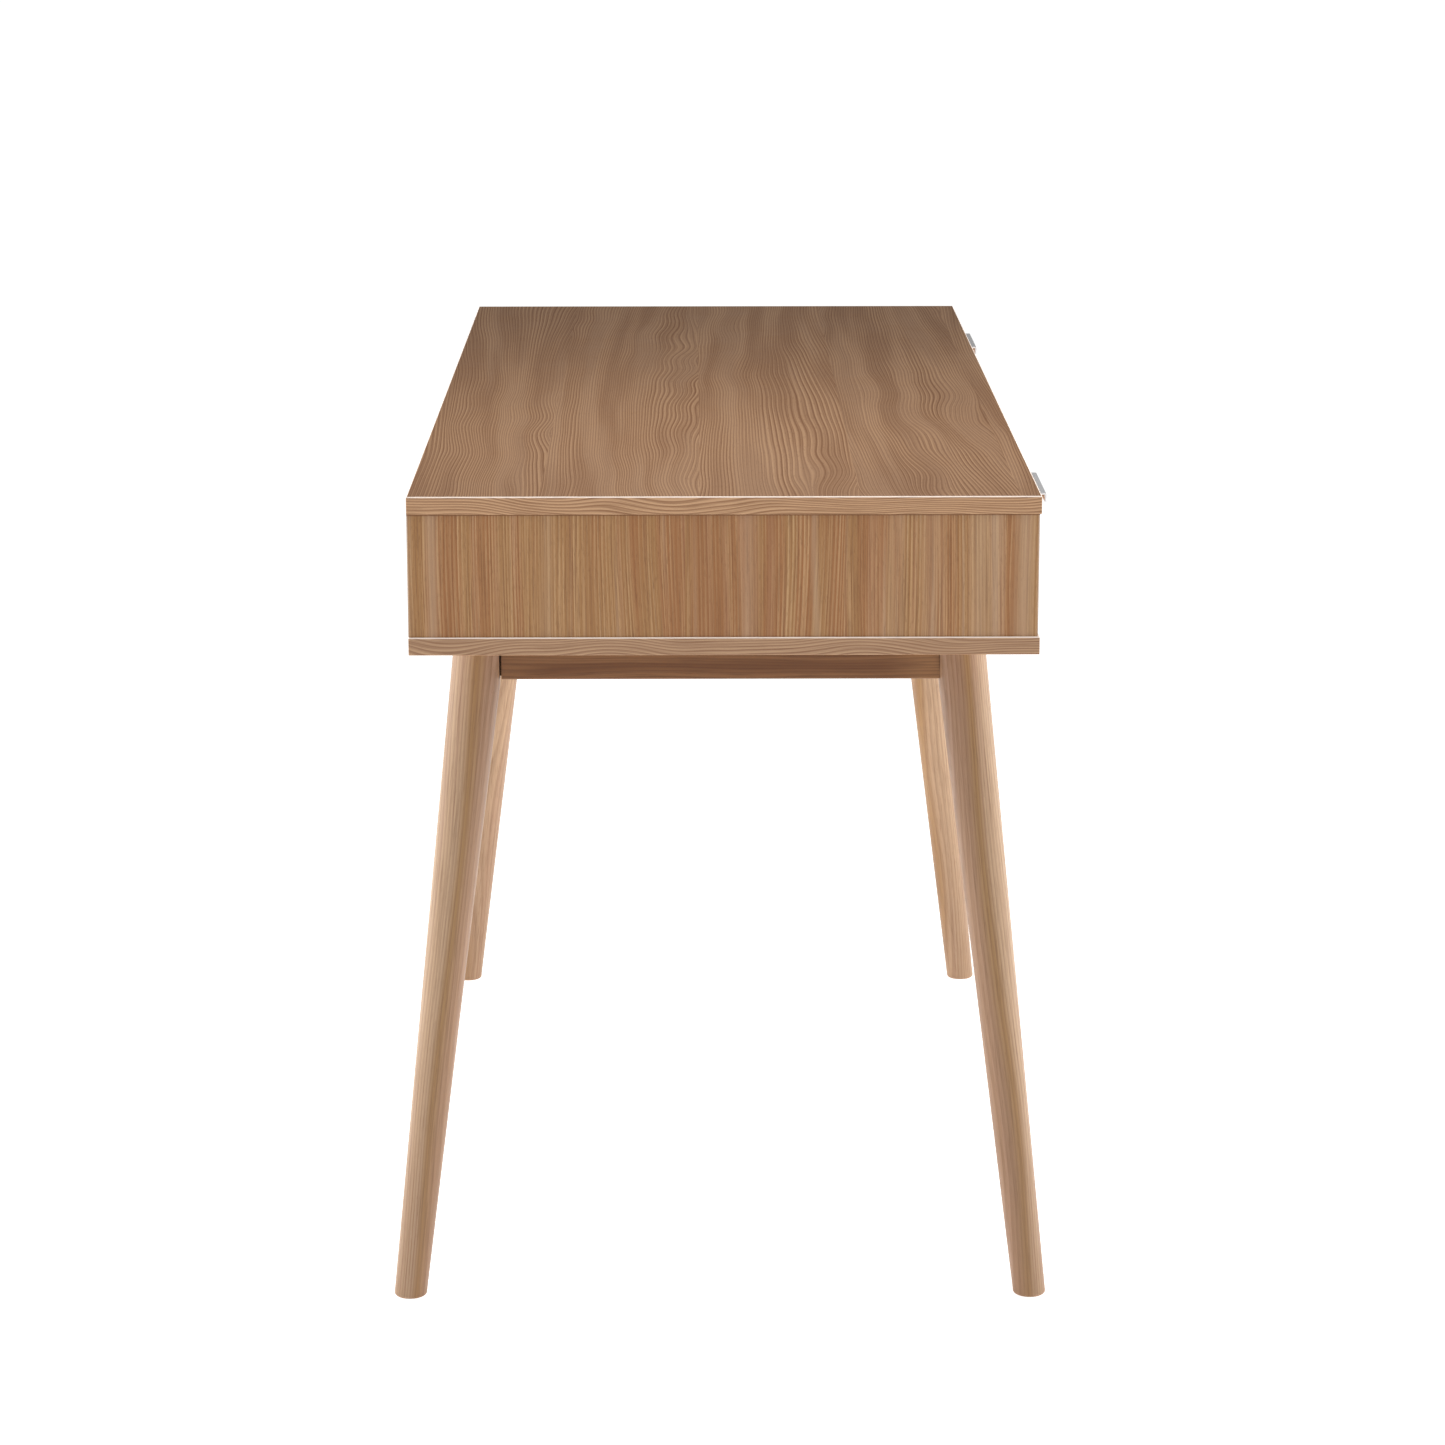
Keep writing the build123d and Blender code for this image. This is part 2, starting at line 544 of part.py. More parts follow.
for name, side in SIDES.items():
    centre_x = side * (FRONT_OUTER + FRONT_INNER) / 2
    pull_screw_spots = [(centre_x + offset, FRONT_BACK, PULL_SCREW_Z)
                        for offset in (-PULL_SCREW_SPREAD, PULL_SCREW_SPREAD)]
    inner_faces = [face + into * SIDE_THICK for face, into in box_sides.values()]

    with BuildPart() as drawer_front:
        slab((side * FRONT_OUTER, side * FRONT_INNER), (PANEL_FRONT, FRONT_BACK), (FRONT_Z0, FRONT_Z1))
        fillet(drawer_front.edges().group_by(Axis.Y)[0], EDGE_ROUND)
        slab([side * (value + sign * GROOVE_DEPTH) for value, sign in zip(inner_faces, (1, -1))],
             (FRONT_BACK - GROOVE_DEPTH, FRONT_BACK), (GROOVE_Z, GROOVE_Z + PANEL_THICK + GROOVE_PLAY),
             mode=Mode.SUBTRACT)
        drill(pull_screw_spots, (0, -1, 0), PULL_SCREW["radius"] + FIT, PULL_SCREW["length"] - PULL_SHEET)
        drill([(x, FRONT_BACK, z) for x, z in bolt_lines(side)], (0, -1, 0), DRAWER_BOLT["radius"] + FIT,
              DRAWER_BOLT["grip"])
    save(drawer_front, f"{name}_drawer_front")

    for place, (face, into) in box_sides.items():
        inner = face + into * SIDE_THICK
        with BuildPart() as drawer_side:
            slab((side * face, side * inner), (FRONT_BACK, SIDE_BACK), (SIDE_Z0, SIDE_Z1))
            slab((side * inner, side * (inner - into * GROOVE_DEPTH)), (FRONT_BACK, SIDE_BACK),
                 (GROOVE_Z, GROOVE_Z + PANEL_THICK + GROOVE_PLAY), mode=Mode.SUBTRACT)
            drill([(side * inner, DRAWER_CAM_Y, z) for z in FITTING_Z], (-side * into, 0, 0),
                  DRAWER_CAM["radius"] + FIT, DRAWER_CAM["depth"])
            drill([(side * (face + into * SIDE_THICK / 2), FRONT_BACK, z) for z in FITTING_Z], (0, 1, 0),
                  DRAWER_BOLT["radius"] + FIT, DRAWER_CAM["setback"])
            drill_flush([(side * face, BACK_SCREW_Y, z) for z in FITTING_Z], (side * into, 0, 0), BACK_SCREW,
                        SIDE_THICK)
            drill([(side * face, y, RUNNER_Z) for y in BOX_RUNNER_SCREW_Y], (side * into, 0, 0),
                  BOX_RUNNER_SCREW["radius"] + FIT, BOX_RUNNER_SCREW["length"] - STEEL)
        save(drawer_side, f"{name}_drawer_side_{place}")

    with BuildPart() as drawer_back:
        slab([side * value for value in inner_faces], (BOX_BACK_FRONT, SIDE_BACK),
             (GROOVE_Z + PANEL_THICK, SIDE_Z1))
        for value, (face, into) in zip(inner_faces, box_sides.values()):
            drill([(side * value, BACK_SCREW_Y, z) for z in FITTING_Z], (side * into, 0, 0),
                  BACK_SCREW["radius"] + FIT, BACK_SCREW["length"] - SIDE_THICK)
    save(drawer_back, f"{name}_drawer_back")

    in_groove = GROOVE_DEPTH - GROOVE_PLAY
    with BuildPart() as drawer_bottom:
        slab([side * (value + sign * in_groove) for value, sign in zip(inner_faces, (1, -1))],
             (FRONT_BACK - in_groove, SIDE_BACK), (GROOVE_Z, GROOVE_Z + PANEL_THICK))
    save(drawer_bottom, f"{name}_drawer_bottom")

    lip_y = TOP_FRONT - PULL_REACH
    with BuildPart() as drawer_pull:
        with BuildSketch(Plane.YZ.offset(centre_x - PULL_LENGTH / 2)) as section:
            with BuildLine():
                Polyline(
                    (lip_y, FRONT_Z1 + PULL_SHEET - PULL_LIP),
                    (lip_y, FRONT_Z1 + PULL_SHEET),
                    (FRONT_BACK + PULL_SHEET, FRONT_Z1 + PULL_SHEET),
                    (FRONT_BACK + PULL_SHEET, FRONT_Z1 + PULL_SHEET - PULL_FLANGE),
                    (FRONT_BACK, FRONT_Z1 + PULL_SHEET - PULL_FLANGE),
                    (FRONT_BACK, FRONT_Z1),
                    (lip_y + PULL_SHEET, FRONT_Z1),
                    (lip_y + PULL_SHEET, FRONT_Z1 + PULL_SHEET - PULL_LIP),
                    close=True,
                )
            make_face()
            fillet(section.vertices().group_by(Axis.Y)[-1], PULL_BEND)
        extrude(amount=PULL_LENGTH)
        drill([(x, FRONT_BACK + PULL_SHEET, z) for x, y, z in pull_screw_spots], (0, -1, 0),
              PULL_SCREW["radius"] + LOOSE_FIT, PULL_SHEET)
    save(drawer_pull, f"{name}_drawer_pull")

    pull_screw_places = [((x, y + PULL_SHEET, z), (0, -1, 0)) for x, y, z in pull_screw_spots]
    pull_screws = copies(wood_screw(**PULL_SCREW), pull_screw_places)
    save(pull_screws, f"{name}_drawer_pull_screws")

    drawer_cam_places = []
    back_screw_places = []
    box_runner_screw_places = []
    for place, (face, into) in box_sides.items():
        inner = side * (face + into * SIDE_THICK)
        web_face = side * (face - into * STEEL)
        drawer_cam_places += [((inner, DRAWER_CAM_Y, z), (-side * into, 0, 0)) for z in FITTING_Z]
        back_screw_places += [((side * face, BACK_SCREW_Y, z), (side * into, 0, 0)) for z in FITTING_Z]
        box_runner_screw_places += [((web_face, y, RUNNER_Z), (side * into, 0, 0))
                                    for y in BOX_RUNNER_SCREW_Y]

        with BuildPart() as box_runner:
            add(channel(side * face, -side * into, BOX_RUNNER_HEIGHT, BOX_RUNNER_DEPTH, RUNNER_BACK))
            drill([(web_face, y, RUNNER_Z) for y in BOX_RUNNER_SCREW_Y], (side * into, 0, 0),
                  BOX_RUNNER_SCREW["radius"] + FIT, STEEL)
        save(box_runner, f"{name}_drawer_runner_{place}")

    drawer_cams = copies(cam_disc(DRAWER_CAM["radius"] - FIT, DRAWER_CAM["depth"] - FIT), drawer_cam_places)
    save(drawer_cams, f"{name}_drawer_cams")

    drawer_bolt = rod(DRAWER_BOLT["radius"],
                      DRAWER_BOLT["grip"] + DRAWER_CAM["setback"] - DRAWER_CAM["radius"])
    bolt_places = [((x, FRONT_BACK - DRAWER_BOLT["grip"], z), (0, 1, 0)) for x, z in bolt_lines(side)]
    drawer_cam_bolts = copies(drawer_bolt, bolt_places)
    save(drawer_cam_bolts, f"{name}_drawer_cam_bolts")

    drawer_back_screws = copies(flush_screw(**BACK_SCREW), back_screw_places)
    save(drawer_back_screws, f"{name}_drawer_back_screws")

    box_runner_screws = copies(wood_screw(**BOX_RUNNER_SCREW), box_runner_screw_places)
    save(box_runner_screws, f"{name}_drawer_runner_screws")

    with BuildPart() as box_glides:
        for face, into in box_sides.values():
            glides(side * face, -side * into, box_glide_section, (RUNNER_BACK - GLIDE_LENGTH, RUNNER_BACK))
    save(box_glides, f"{name}_drawer_glides")
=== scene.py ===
"""The look of a writing desk with two drawers: wood-look boards, solid tapered legs, metal pulls.

Every piece of the desk is a CAD node. This script gives each one its finish and sets the studio: a pale
floor, soft lights and a camera that looks along the desk from its left end. Lengths are in metres.
"""

import math
from typing import NamedTuple

import bpy
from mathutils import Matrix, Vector


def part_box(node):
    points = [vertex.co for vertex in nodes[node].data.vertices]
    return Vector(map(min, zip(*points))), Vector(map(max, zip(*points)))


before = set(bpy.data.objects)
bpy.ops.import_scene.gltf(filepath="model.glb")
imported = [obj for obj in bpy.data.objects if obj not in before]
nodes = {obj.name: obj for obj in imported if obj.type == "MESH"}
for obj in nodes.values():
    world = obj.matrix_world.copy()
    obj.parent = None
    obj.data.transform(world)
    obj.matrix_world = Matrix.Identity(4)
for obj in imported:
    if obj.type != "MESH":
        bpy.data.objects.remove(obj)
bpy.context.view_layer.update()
MM = 0.001
AXES = "xyz"
SCREEN_GAMMA = 2.2

# ---------------------------------------------------------------- camera and studio
SENSOR = 36.0
LENS = 103.94
CAMERA_FROM_END = 3.347         # from the near end of the desk top, level
CAMERA_HEIGHT = 1.319
CAMERA_ASIDE = 0.0248           # from the desk top's middle towards its back edge
CAMERA_DOWN = math.radians(13.08)
CAMERA_TO_FRONT = math.radians(0.40)
CAMERA_ROLL = math.radians(-0.025)

SURROUND = 0.35                 # strength of the white room
SIDE_LIGHT = {"away": 2.3, "place": (0.1, 1.2), "target": (-0.1, 0.0, 0.4), "size": (2.2, 0.9), "power": 60}
TOP_LIGHT = {"place": (-0.45, -0.05, 1.38), "target": (-0.45, -0.05, 0.7), "size": (0.9, 0.7), "power": 6.1}
FLOOR_REACH = 40.0
FLOOR_WHITE = (0.93, 0.93, 0.93)
FLOOR_ROUGHNESS = 0.9
FLOOR_GLOW = 0.7

top_low, top_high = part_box("desk_top")


def place_camera():
    """A long lens that looks along +X and slightly down, turned a little towards the drawers."""
    data = bpy.data.cameras.new("camera")
    data.lens = LENS
    data.sensor_width = SENSOR
    camera = bpy.data.objects.new("camera", data)
    bpy.context.scene.collection.objects.link(camera)
    top_middle_y = (top_low.y + top_high.y) / 2
    camera.location = (top_low.x - CAMERA_FROM_END, top_middle_y + CAMERA_ASIDE, CAMERA_HEIGHT)
    level = math.cos(CAMERA_DOWN)
    forward = Vector((
        math.cos(CAMERA_TO_FRONT) * level, -math.sin(CAMERA_TO_FRONT) * level, -math.sin(CAMERA_DOWN)
    ))
    camera.rotation_euler = forward.to_track_quat("-Z", "Y").to_euler()
    camera.rotation_euler.rotate_axis("Z", CAMERA_ROLL)
    bpy.context.scene.camera = camera


def soft_light(name, place, target, size, power):
    """A rectangular area light at a place, turned to a target."""
    data = bpy.data.lights.new(name, "AREA")
    data.shape = "RECTANGLE"
    data.size, data.size_y = size
    data.energy = power
    light = bpy.data.objects.new(name, data)
    bpy.context.scene.collection.objects.link(light)
    light.location = place
    light.rotation_euler = (Vector(target) - Vector(place)).to_track_quat("-Z", "Y").to_euler()


def make_studio():
    """A white room: an even surround, a soft box at each side, and one above the near end."""
    world = bpy.data.worlds.new("studio")
    bpy.context.scene.world = world
    world.use_nodes = True
    background = world.node_tree.nodes["Background"]
    background.inputs["Color"].default_value = (1, 1, 1, 1)
    background.inputs["Strength"].default_value = SURROUND
    bpy.context.scene.view_settings.view_transform = "Standard"

    x, z = SIDE_LIGHT["place"]
    for name, side in (("front_side_light", -1), ("back_side_light", 1)):
        place = (x, side * SIDE_LIGHT["away"], z)
        soft_light(name, place, SIDE_LIGHT["target"], SIDE_LIGHT["size"], SIDE_LIGHT["power"])
    soft_light("near_top_light", **TOP_LIGHT)


def make_floor():
    """A plain white floor, flat and wide, with an even glow so that shadows on it stay faint."""
    mesh = bpy.data.meshes.new("studio_floor")
    reach = FLOOR_REACH
    mesh.from_pydata([(-reach, -reach, 0), (reach, -reach, 0), (reach, reach, 0), (-reach, reach, 0)],
                     [], [(0, 1, 2, 3)])
    floor = bpy.data.objects.new("studio_floor", mesh)
    bpy.context.scene.collection.objects.link(floor)
    finish = Finish("studio_floor")
    mesh.materials.append(finish.close(FLOOR_WHITE, FLOOR_ROUGHNESS, glow=FLOOR_GLOW))


# ---------------------------------------------------------------- shader maths
class Value:
    """One number in a material. Arithmetic on it adds Math nodes."""

    def __init__(self, finish, socket):
        self.finish = finish
        self.socket = socket

    def _math(self, operation, *operands):
        return Value(self.finish, self.finish.node("ShaderNodeMath", {"operation": operation}, operands)[0])

    def __add__(self, other):
        return self._math("ADD", self, other)

    __radd__ = __add__

    def __sub__(self, other):
        return self._math("SUBTRACT", self, other)

    def __rsub__(self, other):
        return self._math("SUBTRACT", other, self)

    def __mul__(self, other):
        return self._math("MULTIPLY", self, other)

    __rmul__ = __mul__

    def __truediv__(self, other):
        return self._math("DIVIDE", self, other)

    def __rtruediv__(self, other):
        return self._math("DIVIDE", other, self)

    def __pow__(self, other):
        return self._math("POWER", self, other)

    def __abs__(self):
        return self._math("ABSOLUTE", self)

    def floor(self):
        return self._math("FLOOR", self)

    def above(self, edge):
        """1 where the value is more than edge, otherwise 0."""
        return self._math("GREATER_THAN", self, edge)

    def fraction(self):
        return self._math("FRACT", self)

    def wave(self):
        """The sine of an angle in radians."""
        return self._math("SINE", self)

    def step(self, low, high):
        """0 below low, 1 above high, and smooth between them."""
        node = self.finish.node(
            "ShaderNodeMapRange", {"interpolation_type": "SMOOTHSTEP"},
            {"Value": self, "From Min": low, "From Max": high},
        )
        return Value(self.finish, node[0])

    def stripe(self, middle, half_width):
        """1 at the middle, falling smoothly to 0 at half_width on either side."""
        return 1 - abs(self - middle).step(0.0, half_width)


class Bend(NamedTuple):
    """A slow noise that bends the grain: its size across and along it, and its reach sideways."""

    width: float
    length: float
    reach: float
    seed: float = 0.0
    detail: float = 1.0


class Streaks(NamedTuple):
    """Streaks along the grain: their size, and the noise values between which they fade in."""

    width: float
    length: float
    fade: tuple
    seed: float = 0.0
    detail: float = 1.0
    tone: tuple = (0.0, 0.0, 0.0)
    strength: float = 1.0


class Lines(NamedTuple):
    """Growth lines: the distance from one to the next, and the tone and strength they are drawn in."""

    spacing: float
    tone: tuple
    strength: float
    seed: float = 0.0


class Fibres(NamedTuple):
    """Fibres or pores in solid wood: their size, and the noise values between which they show."""

    width: float
    length: float
    fade: tuple
    tone: tuple
    strength: float
    detail: float = 2.0


class Finish:
    """A material under construction, with one method for any node."""

    def __init__(self, name):
        self.material = bpy.data.materials.new(name)
        self.material.use_nodes = True
        self.tree = self.material.node_tree
        self.tree.nodes.clear()
        coordinates = self.tree.nodes.new("ShaderNodeTexCoord")
        self.place = coordinates.outputs["Object"]
        self.normal = coordinates.outputs["Normal"]

    def node(self, kind, settings=None, inputs=()):
        """Adds a node, sets its settings, then its sockets by name or by order. Returns its outputs."""
        node = self.tree.nodes.new(kind)
        for key, value in (settings or {}).items():
            setattr(node, key, value)
        pairs = inputs.items() if isinstance(inputs, dict) else enumerate(inputs)
        for key, value in pairs:
            socket = value.socket if isinstance(value, Value) else value
            if isinstance(socket, bpy.types.NodeSocket):
                self.tree.links.new(socket, node.inputs[key])
            else:
                node.inputs[key].default_value = socket
        return node.outputs

    def xyz(self, vector):
        """The three numbers of a vector."""
        return [Value(self, out) for out in self.node("ShaderNodeSeparateXYZ", inputs=[vector])]

    def vector(self, x, y, z):
        return self.node("ShaderNodeCombineXYZ", inputs=[x, y, z])[0]

    def distance_along(self, direction, start):
        """How far the surface lies from a start point, measured along a direction."""
        shifted = self.node("ShaderNodeVectorMath", {"operation": "SUBTRACT"}, [self.place, tuple(start)])[0]
        out = self.node("ShaderNodeVectorMath", {"operation": "DOT_PRODUCT"}, [shifted, tuple(direction)])
        return Value(self, out["Value"])

    def noise(self, vector, detail=2.0, roughness=0.5):
        """Smooth noise from 0 to 1 at a vector whose units are the noise's own cells."""
        out = self.node(
            "ShaderNodeTexNoise", {"noise_dimensions": "3D"},
            {"Vector": vector, "Scale": 1.0, "Detail": detail, "Roughness": roughness},
        )
        return Value(self, out["Fac"])

    def streaks(self, across, along, width, length, seed, detail=1.0):
        """Noise in streaks that are width wide across the grain and length long along it."""
        return self.noise(self.vector(across / width, along / length, seed), detail)

    def bend(self, bend, across, along, seed=0.0):
        """How far a bend shifts the grain sideways."""
        noise = self.streaks(across, along, bend.width, bend.length, seed + bend.seed, bend.detail)
        return (noise - 0.5) * bend.reach

    def hairs(self, streaks, across, along, seed=0.0):
        """The noise that a set of streaks is drawn from, before it is faded in."""
        own_seed = seed + streaks.seed
        return self.streaks(across, along, streaks.width, streaks.length, own_seed, streaks.detail)

    def mask(self, streaks, across, along, seed=0.0):
        """A set of streaks, from 0 between them to 1 on them."""
        noise = self.hairs(streaks, across, along, seed)
        return noise.step(*streaks.fade)

    def fibres(self, fibres, across, deep, along, seed=0.0):
        """Fine noise drawn out along the grain, inside solid wood and on its surface alike."""
        width = fibres.width
        place = self.vector(across / width, deep / width, along / fibres.length + seed)
        return self.noise(place, fibres.detail)

    def lay(self, colour, layer, mask):
        """The colour with a layer's own tone over it where the mask says, at the layer's strength."""
        return self.mix(mask * layer.strength, colour, layer.tone)

    def speckle(self, size, seed, detail=2.0):
        """Noise whose cells are the same size every way."""
        x, y, z = self.xyz(self.place)
        return self.noise(self.vector(x / size, y / size, z / size + seed), detail)

    def mix(self, factor, first, second):
        """A colour between two others."""
        out = self.node(
            "ShaderNodeMix", {"data_type": "RGBA"},
            {"Factor": factor, 6: as_colour(first), 7: as_colour(second)},
        )
        return out[2]

    def close(self, colour, roughness, height=None, metallic=0.0, specular=0.5, coat=0.0, glow=0.0):
        """Closes the material with a Principled shader. height is the surface's relief in metres."""
        inputs = {
            "Base Color": as_colour(colour), "Roughness": roughness, "Metallic": metallic,
            "Specular IOR Level": specular, "Coat Weight": coat,
            "Emission Color": (1.0, 1.0, 1.0, 1.0), "Emission Strength": glow,
        }
        if height is not None:
            inputs["Normal"] = self.node("ShaderNodeBump", inputs={"Distance": 1.0, "Height": height})[0]
        shader = self.node("ShaderNodeBsdfPrincipled", inputs=inputs)[0]
        self.node("ShaderNodeOutputMaterial", inputs={"Surface": shader})
        return self.material


def as_colour(value):
    """Three numbers become a colour with full alpha; anything else is left alone."""
    return (*value, 1.0) if isinstance(value, tuple) and len(value) == 3 else value


def tone(red, green, blue):
    """A colour from its screen values of 0 to 255, as the linear light that a shader takes."""
    return tuple((part / 255) ** SCREEN_GAMMA for part in (red, green, blue))


# ---------------------------------------------------------------- printed wood boards
PLANK = 131 * MM                # width of the planks printed on the boards
TOP_SEAM = 17 * MM              # where a seam between the top's planks lies, towards the back
END_SEAM = 29 * MM              # and one between the end panels' planks
RIM = 0.7 * MM                  # how far a band's own thickness shows on the face, with a painted highlight there on a flat board's upper face
BOTTOM_RIM = 1.2 * MM           # and how far on the case bottom, wider there for a stronger painted highlight along its upper edge
RIM_FADE = 0.3 * MM
CREST = 1.1 * MM                # how far down a flat board's band the painted highlight on its rounded edge reaches
JOINT_SHADOW = 1.4 * MM         # height of the painted shadow line under the top's overhang, where an upright board meets the top

TOP_BROWN = tone(106, 73, 48)
TOP_DEEP = tone(94, 64, 42)
TOP_GREY = tone(125, 96, 73)
TOP_PALE = tone(155, 122, 92)
TOP_PORE = tone(84, 56, 38)
CASE_ORANGE = tone(150, 101, 61)
CASE_OLIVE = tone(155, 114, 71)
CASE_PINK = tone(160, 115, 83)
CASE_GREY = tone(180, 150, 122)
CASE_DARK = tone(108, 70, 42)
CASE_DEEP = tone(140, 92, 54)
CASE_PALE = tone(204, 165, 122)
BAND_TAN = tone(188, 150, 117)
BAND_DARK = tone(122, 85, 60)
EDGE_PALE_AND_HIGHLIGHT = tone(252, 236, 224)


SWAY_WIDTH, SWAY_REACH = 5, 2   # of the noise that shifts growth lines, in the lines' own spacings
SWAY_LENGTH = 0.9
LINE_START, LINE_CREST = 0.15, 0.88     # parts of the spacing at which a line starts and is brightest


def growth_lines(finish, lines, ring, along, seed=0.0):
    """Growth lines across a bent ring coordinate: each brightens slowly and ends sharply.

    The phase is the ring coordinate over the spacing, plus a slow noise so that no two lines are the same
    distance apart. A line is the phase's fraction, rising over most of it and falling over the rest.
    """
    spacing = lines.spacing
    sway = finish.streaks(ring, along, spacing * SWAY_WIDTH, SWAY_LENGTH, seed + lines.seed)
    part = (ring / spacing + sway * SWAY_REACH).fraction()
    return part.step(LINE_START, LINE_CREST) * (1 - part.step(LINE_CREST, 1.0))


TOP_BEND = Bend(width=0.130, length=1.1, reach=0.085, detail=0.0)
TOP_RIPPLE = Bend(width=0.045, length=0.15, reach=1.0, seed=9.1, detail=0.0)
LEAST_RIPPLE = 0.004            # how far the ripple reaches everywhere
WAVY_RIPPLE = 0.016             # and how much further in the wavy parts
TOP_WAVY = Streaks(width=0.070, length=0.7, fade=(0.44, 0.62), seed=7.7, detail=0.0)
TOP_LINES = Lines(spacing=3.2 * MM, tone=TOP_PALE, strength=0.30)
TOP_MORE_LINES = Streaks(width=0.026, length=0.45, fade=(0.36, 0.62), seed=6.0, strength=0.46)
TOP_FINE_LINES = Lines(spacing=1.7 * MM, tone=TOP_PALE, strength=0.36, seed=4.4)
TOP_BROAD = Streaks(width=0.022, length=0.8, fade=(0.44, 0.62), seed=2.2, tone=TOP_GREY, strength=0.55)
TOP_PORES = Streaks(
    width=0.7 * MM, length=14 * MM, fade=(0.56, 0.74), seed=1.5, detail=2.0, tone=TOP_PORE, strength=0.24
)
PLANK_TONE = {"step": 0.37, "place": (5.3, 1.7), "fade": (0.3, 0.7), "strength": 0.5}
TOP_PLANK_SEED = 3.71           # from one plank's noise to the next
TOP_FINE_RELIEF = 0.5           # height of the fine lines, where the others are 1


def top_figure(finish, along, across, seed):
    """The print on the desk top: planks with arches and ripples, drawn by pale wavy lines.

    A slow noise, long along the grain, bends the ring coordinate, and a quicker one ripples it, mostly in
    wavy parts. Where the bend turns back, the lines close into arches. Each plank takes its own part of the
    noise. Returns the colour and the relief of the print, about -1 to 1.
    """
    strip = ((across - TOP_SEAM) / PLANK).floor()
    shift = strip * TOP_PLANK_SEED + seed
    wavy = finish.mask(TOP_WAVY, across, along, shift)
    ripple = finish.bend(TOP_RIPPLE, across, along, shift) * (wavy * WAVY_RIPPLE + LEAST_RIPPLE)
    ring = across + finish.bend(TOP_BEND, across, along, shift) + ripple
    lines = growth_lines(finish, TOP_LINES, ring, along, shift)
    fine = growth_lines(finish, TOP_FINE_LINES, ring, along, shift)
    more = finish.mask(TOP_MORE_LINES, ring, along, shift)
    pores = finish.mask(TOP_PORES, ring, along, seed)
    own = finish.noise(finish.vector(strip * PLANK_TONE["step"], *PLANK_TONE["place"]), 0)

    deeper = own.step(*PLANK_TONE["fade"]) * PLANK_TONE["strength"]
    colour = finish.mix(deeper, TOP_BROWN, TOP_DEEP)
    colour = finish.lay(colour, TOP_BROAD, finish.mask(TOP_BROAD, ring, along, shift))
    shown = more * TOP_MORE_LINES.strength + TOP_LINES.strength
    colour = finish.mix(lines * shown, colour, TOP_LINES.tone)
    colour = finish.lay(colour, TOP_FINE_LINES, fine)
    colour = finish.lay(colour, TOP_PORES, pores)
    return colour, lines + fine * TOP_FINE_RELIEF - pores


CASE_PLANK_SEED = 2.13          # from one plank's noise to the next
CASE_BEND = Bend(width=0.060, length=0.25, reach=0.014, detail=0.0)
CASE_STRIPS = (
    Streaks(width=0.020, length=0.7, fade=(0.44, 0.56), seed=1.0, tone=CASE_OLIVE, strength=0.75),
    Streaks(width=0.014, length=0.6, fade=(0.54, 0.66), seed=3.0, tone=CASE_PINK, strength=0.65),
    Streaks(width=0.009, length=0.8, fade=(0.62, 0.74), seed=4.0, tone=CASE_GREY, strength=0.5),
)
CASE_LINES = Lines(spacing=3.1 * MM, tone=CASE_PALE, strength=0.12, seed=5.0)
CASE_MORE_LINES = Streaks(width=0.012, length=0.4, fade=(0.40, 0.62), seed=8.0, strength=0.27)
CASE_PALE_HAIRS = Streaks(
    width=1.3 * MM, length=0.16, fade=(0.50, 0.66), seed=6.0, tone=CASE_PALE, strength=0.34
)
CASE_DARK_HAIRS = Streaks(
    width=1.1 * MM, length=0.07, fade=(0.52, 0.68), seed=7.0, detail=2.0, tone=CASE_DARK, strength=0.42
)
CASE_PORES = Streaks(
    width=0.8 * MM, length=7 * MM, fade=(0.55, 0.72), seed=9.0, tone=CASE_DARK, strength=0.26
)


def case_figure(finish, along, across, seed):
    """The print on the case boards: nearly straight fine grain in strips of several tones.

    The ring coordinate is the distance across, bent a little by a slow noise. Strips of orange, olive,
    pink and grey follow it, with hairlines and growth lines a few millimetres apart.
    Returns the colour and the relief of the print, about -1 to 1.
    """
    strip = ((across - END_SEAM) / PLANK).floor()
    shift = strip * CASE_PLANK_SEED + seed
    ring = across + finish.bend(CASE_BEND, across, along, shift)
    lines = growth_lines(finish, CASE_LINES, ring, along, shift)
    more = finish.mask(CASE_MORE_LINES, ring, along, shift)
    dark = finish.mask(CASE_DARK_HAIRS, ring, along, shift)
    colour = CASE_ORANGE
    for strips in CASE_STRIPS:
        colour = finish.lay(colour, strips, finish.mask(strips, ring, along, shift))
    shown = more * CASE_MORE_LINES.strength + CASE_LINES.strength
    colour = finish.mix(lines * shown, colour, CASE_LINES.tone)
    colour = finish.lay(colour, CASE_PALE_HAIRS, finish.mask(CASE_PALE_HAIRS, ring, along, shift))
    colour = finish.lay(colour, CASE_DARK_HAIRS, dark)
    colour = finish.lay(colour, CASE_PORES, finish.mask(CASE_PORES, ring, along, shift))
    return colour, lines - dark


# Strips on the end panels, in millimetres: each one's middle and half width across the board, then how
# strong it is.
PALE_STRIPS = (
    (256, 7, 0.25), (236, 8, 0.5), (142, 9, 0.2), (-24, 12, 0.28), (-78, 5, 0.42),
    (-142, 14, 0.22), (-172, 15, 0.25), (-212, 14, 0.38), (-224, 7, 0.3), (-248, 14, 0.45),
)
DEEP_STRIPS = (
    (222, 7, 0.25), (105, 8, 0.2), (80, 9, 0.22), (16, 28, 0.42), (-41, 9, 0.40), (-90, 8, 0.25),
    (-114, 9, 0.2),
)
STRIP_BEND = Bend(width=0.030, length=0.12, reach=0.008, seed=3.0)


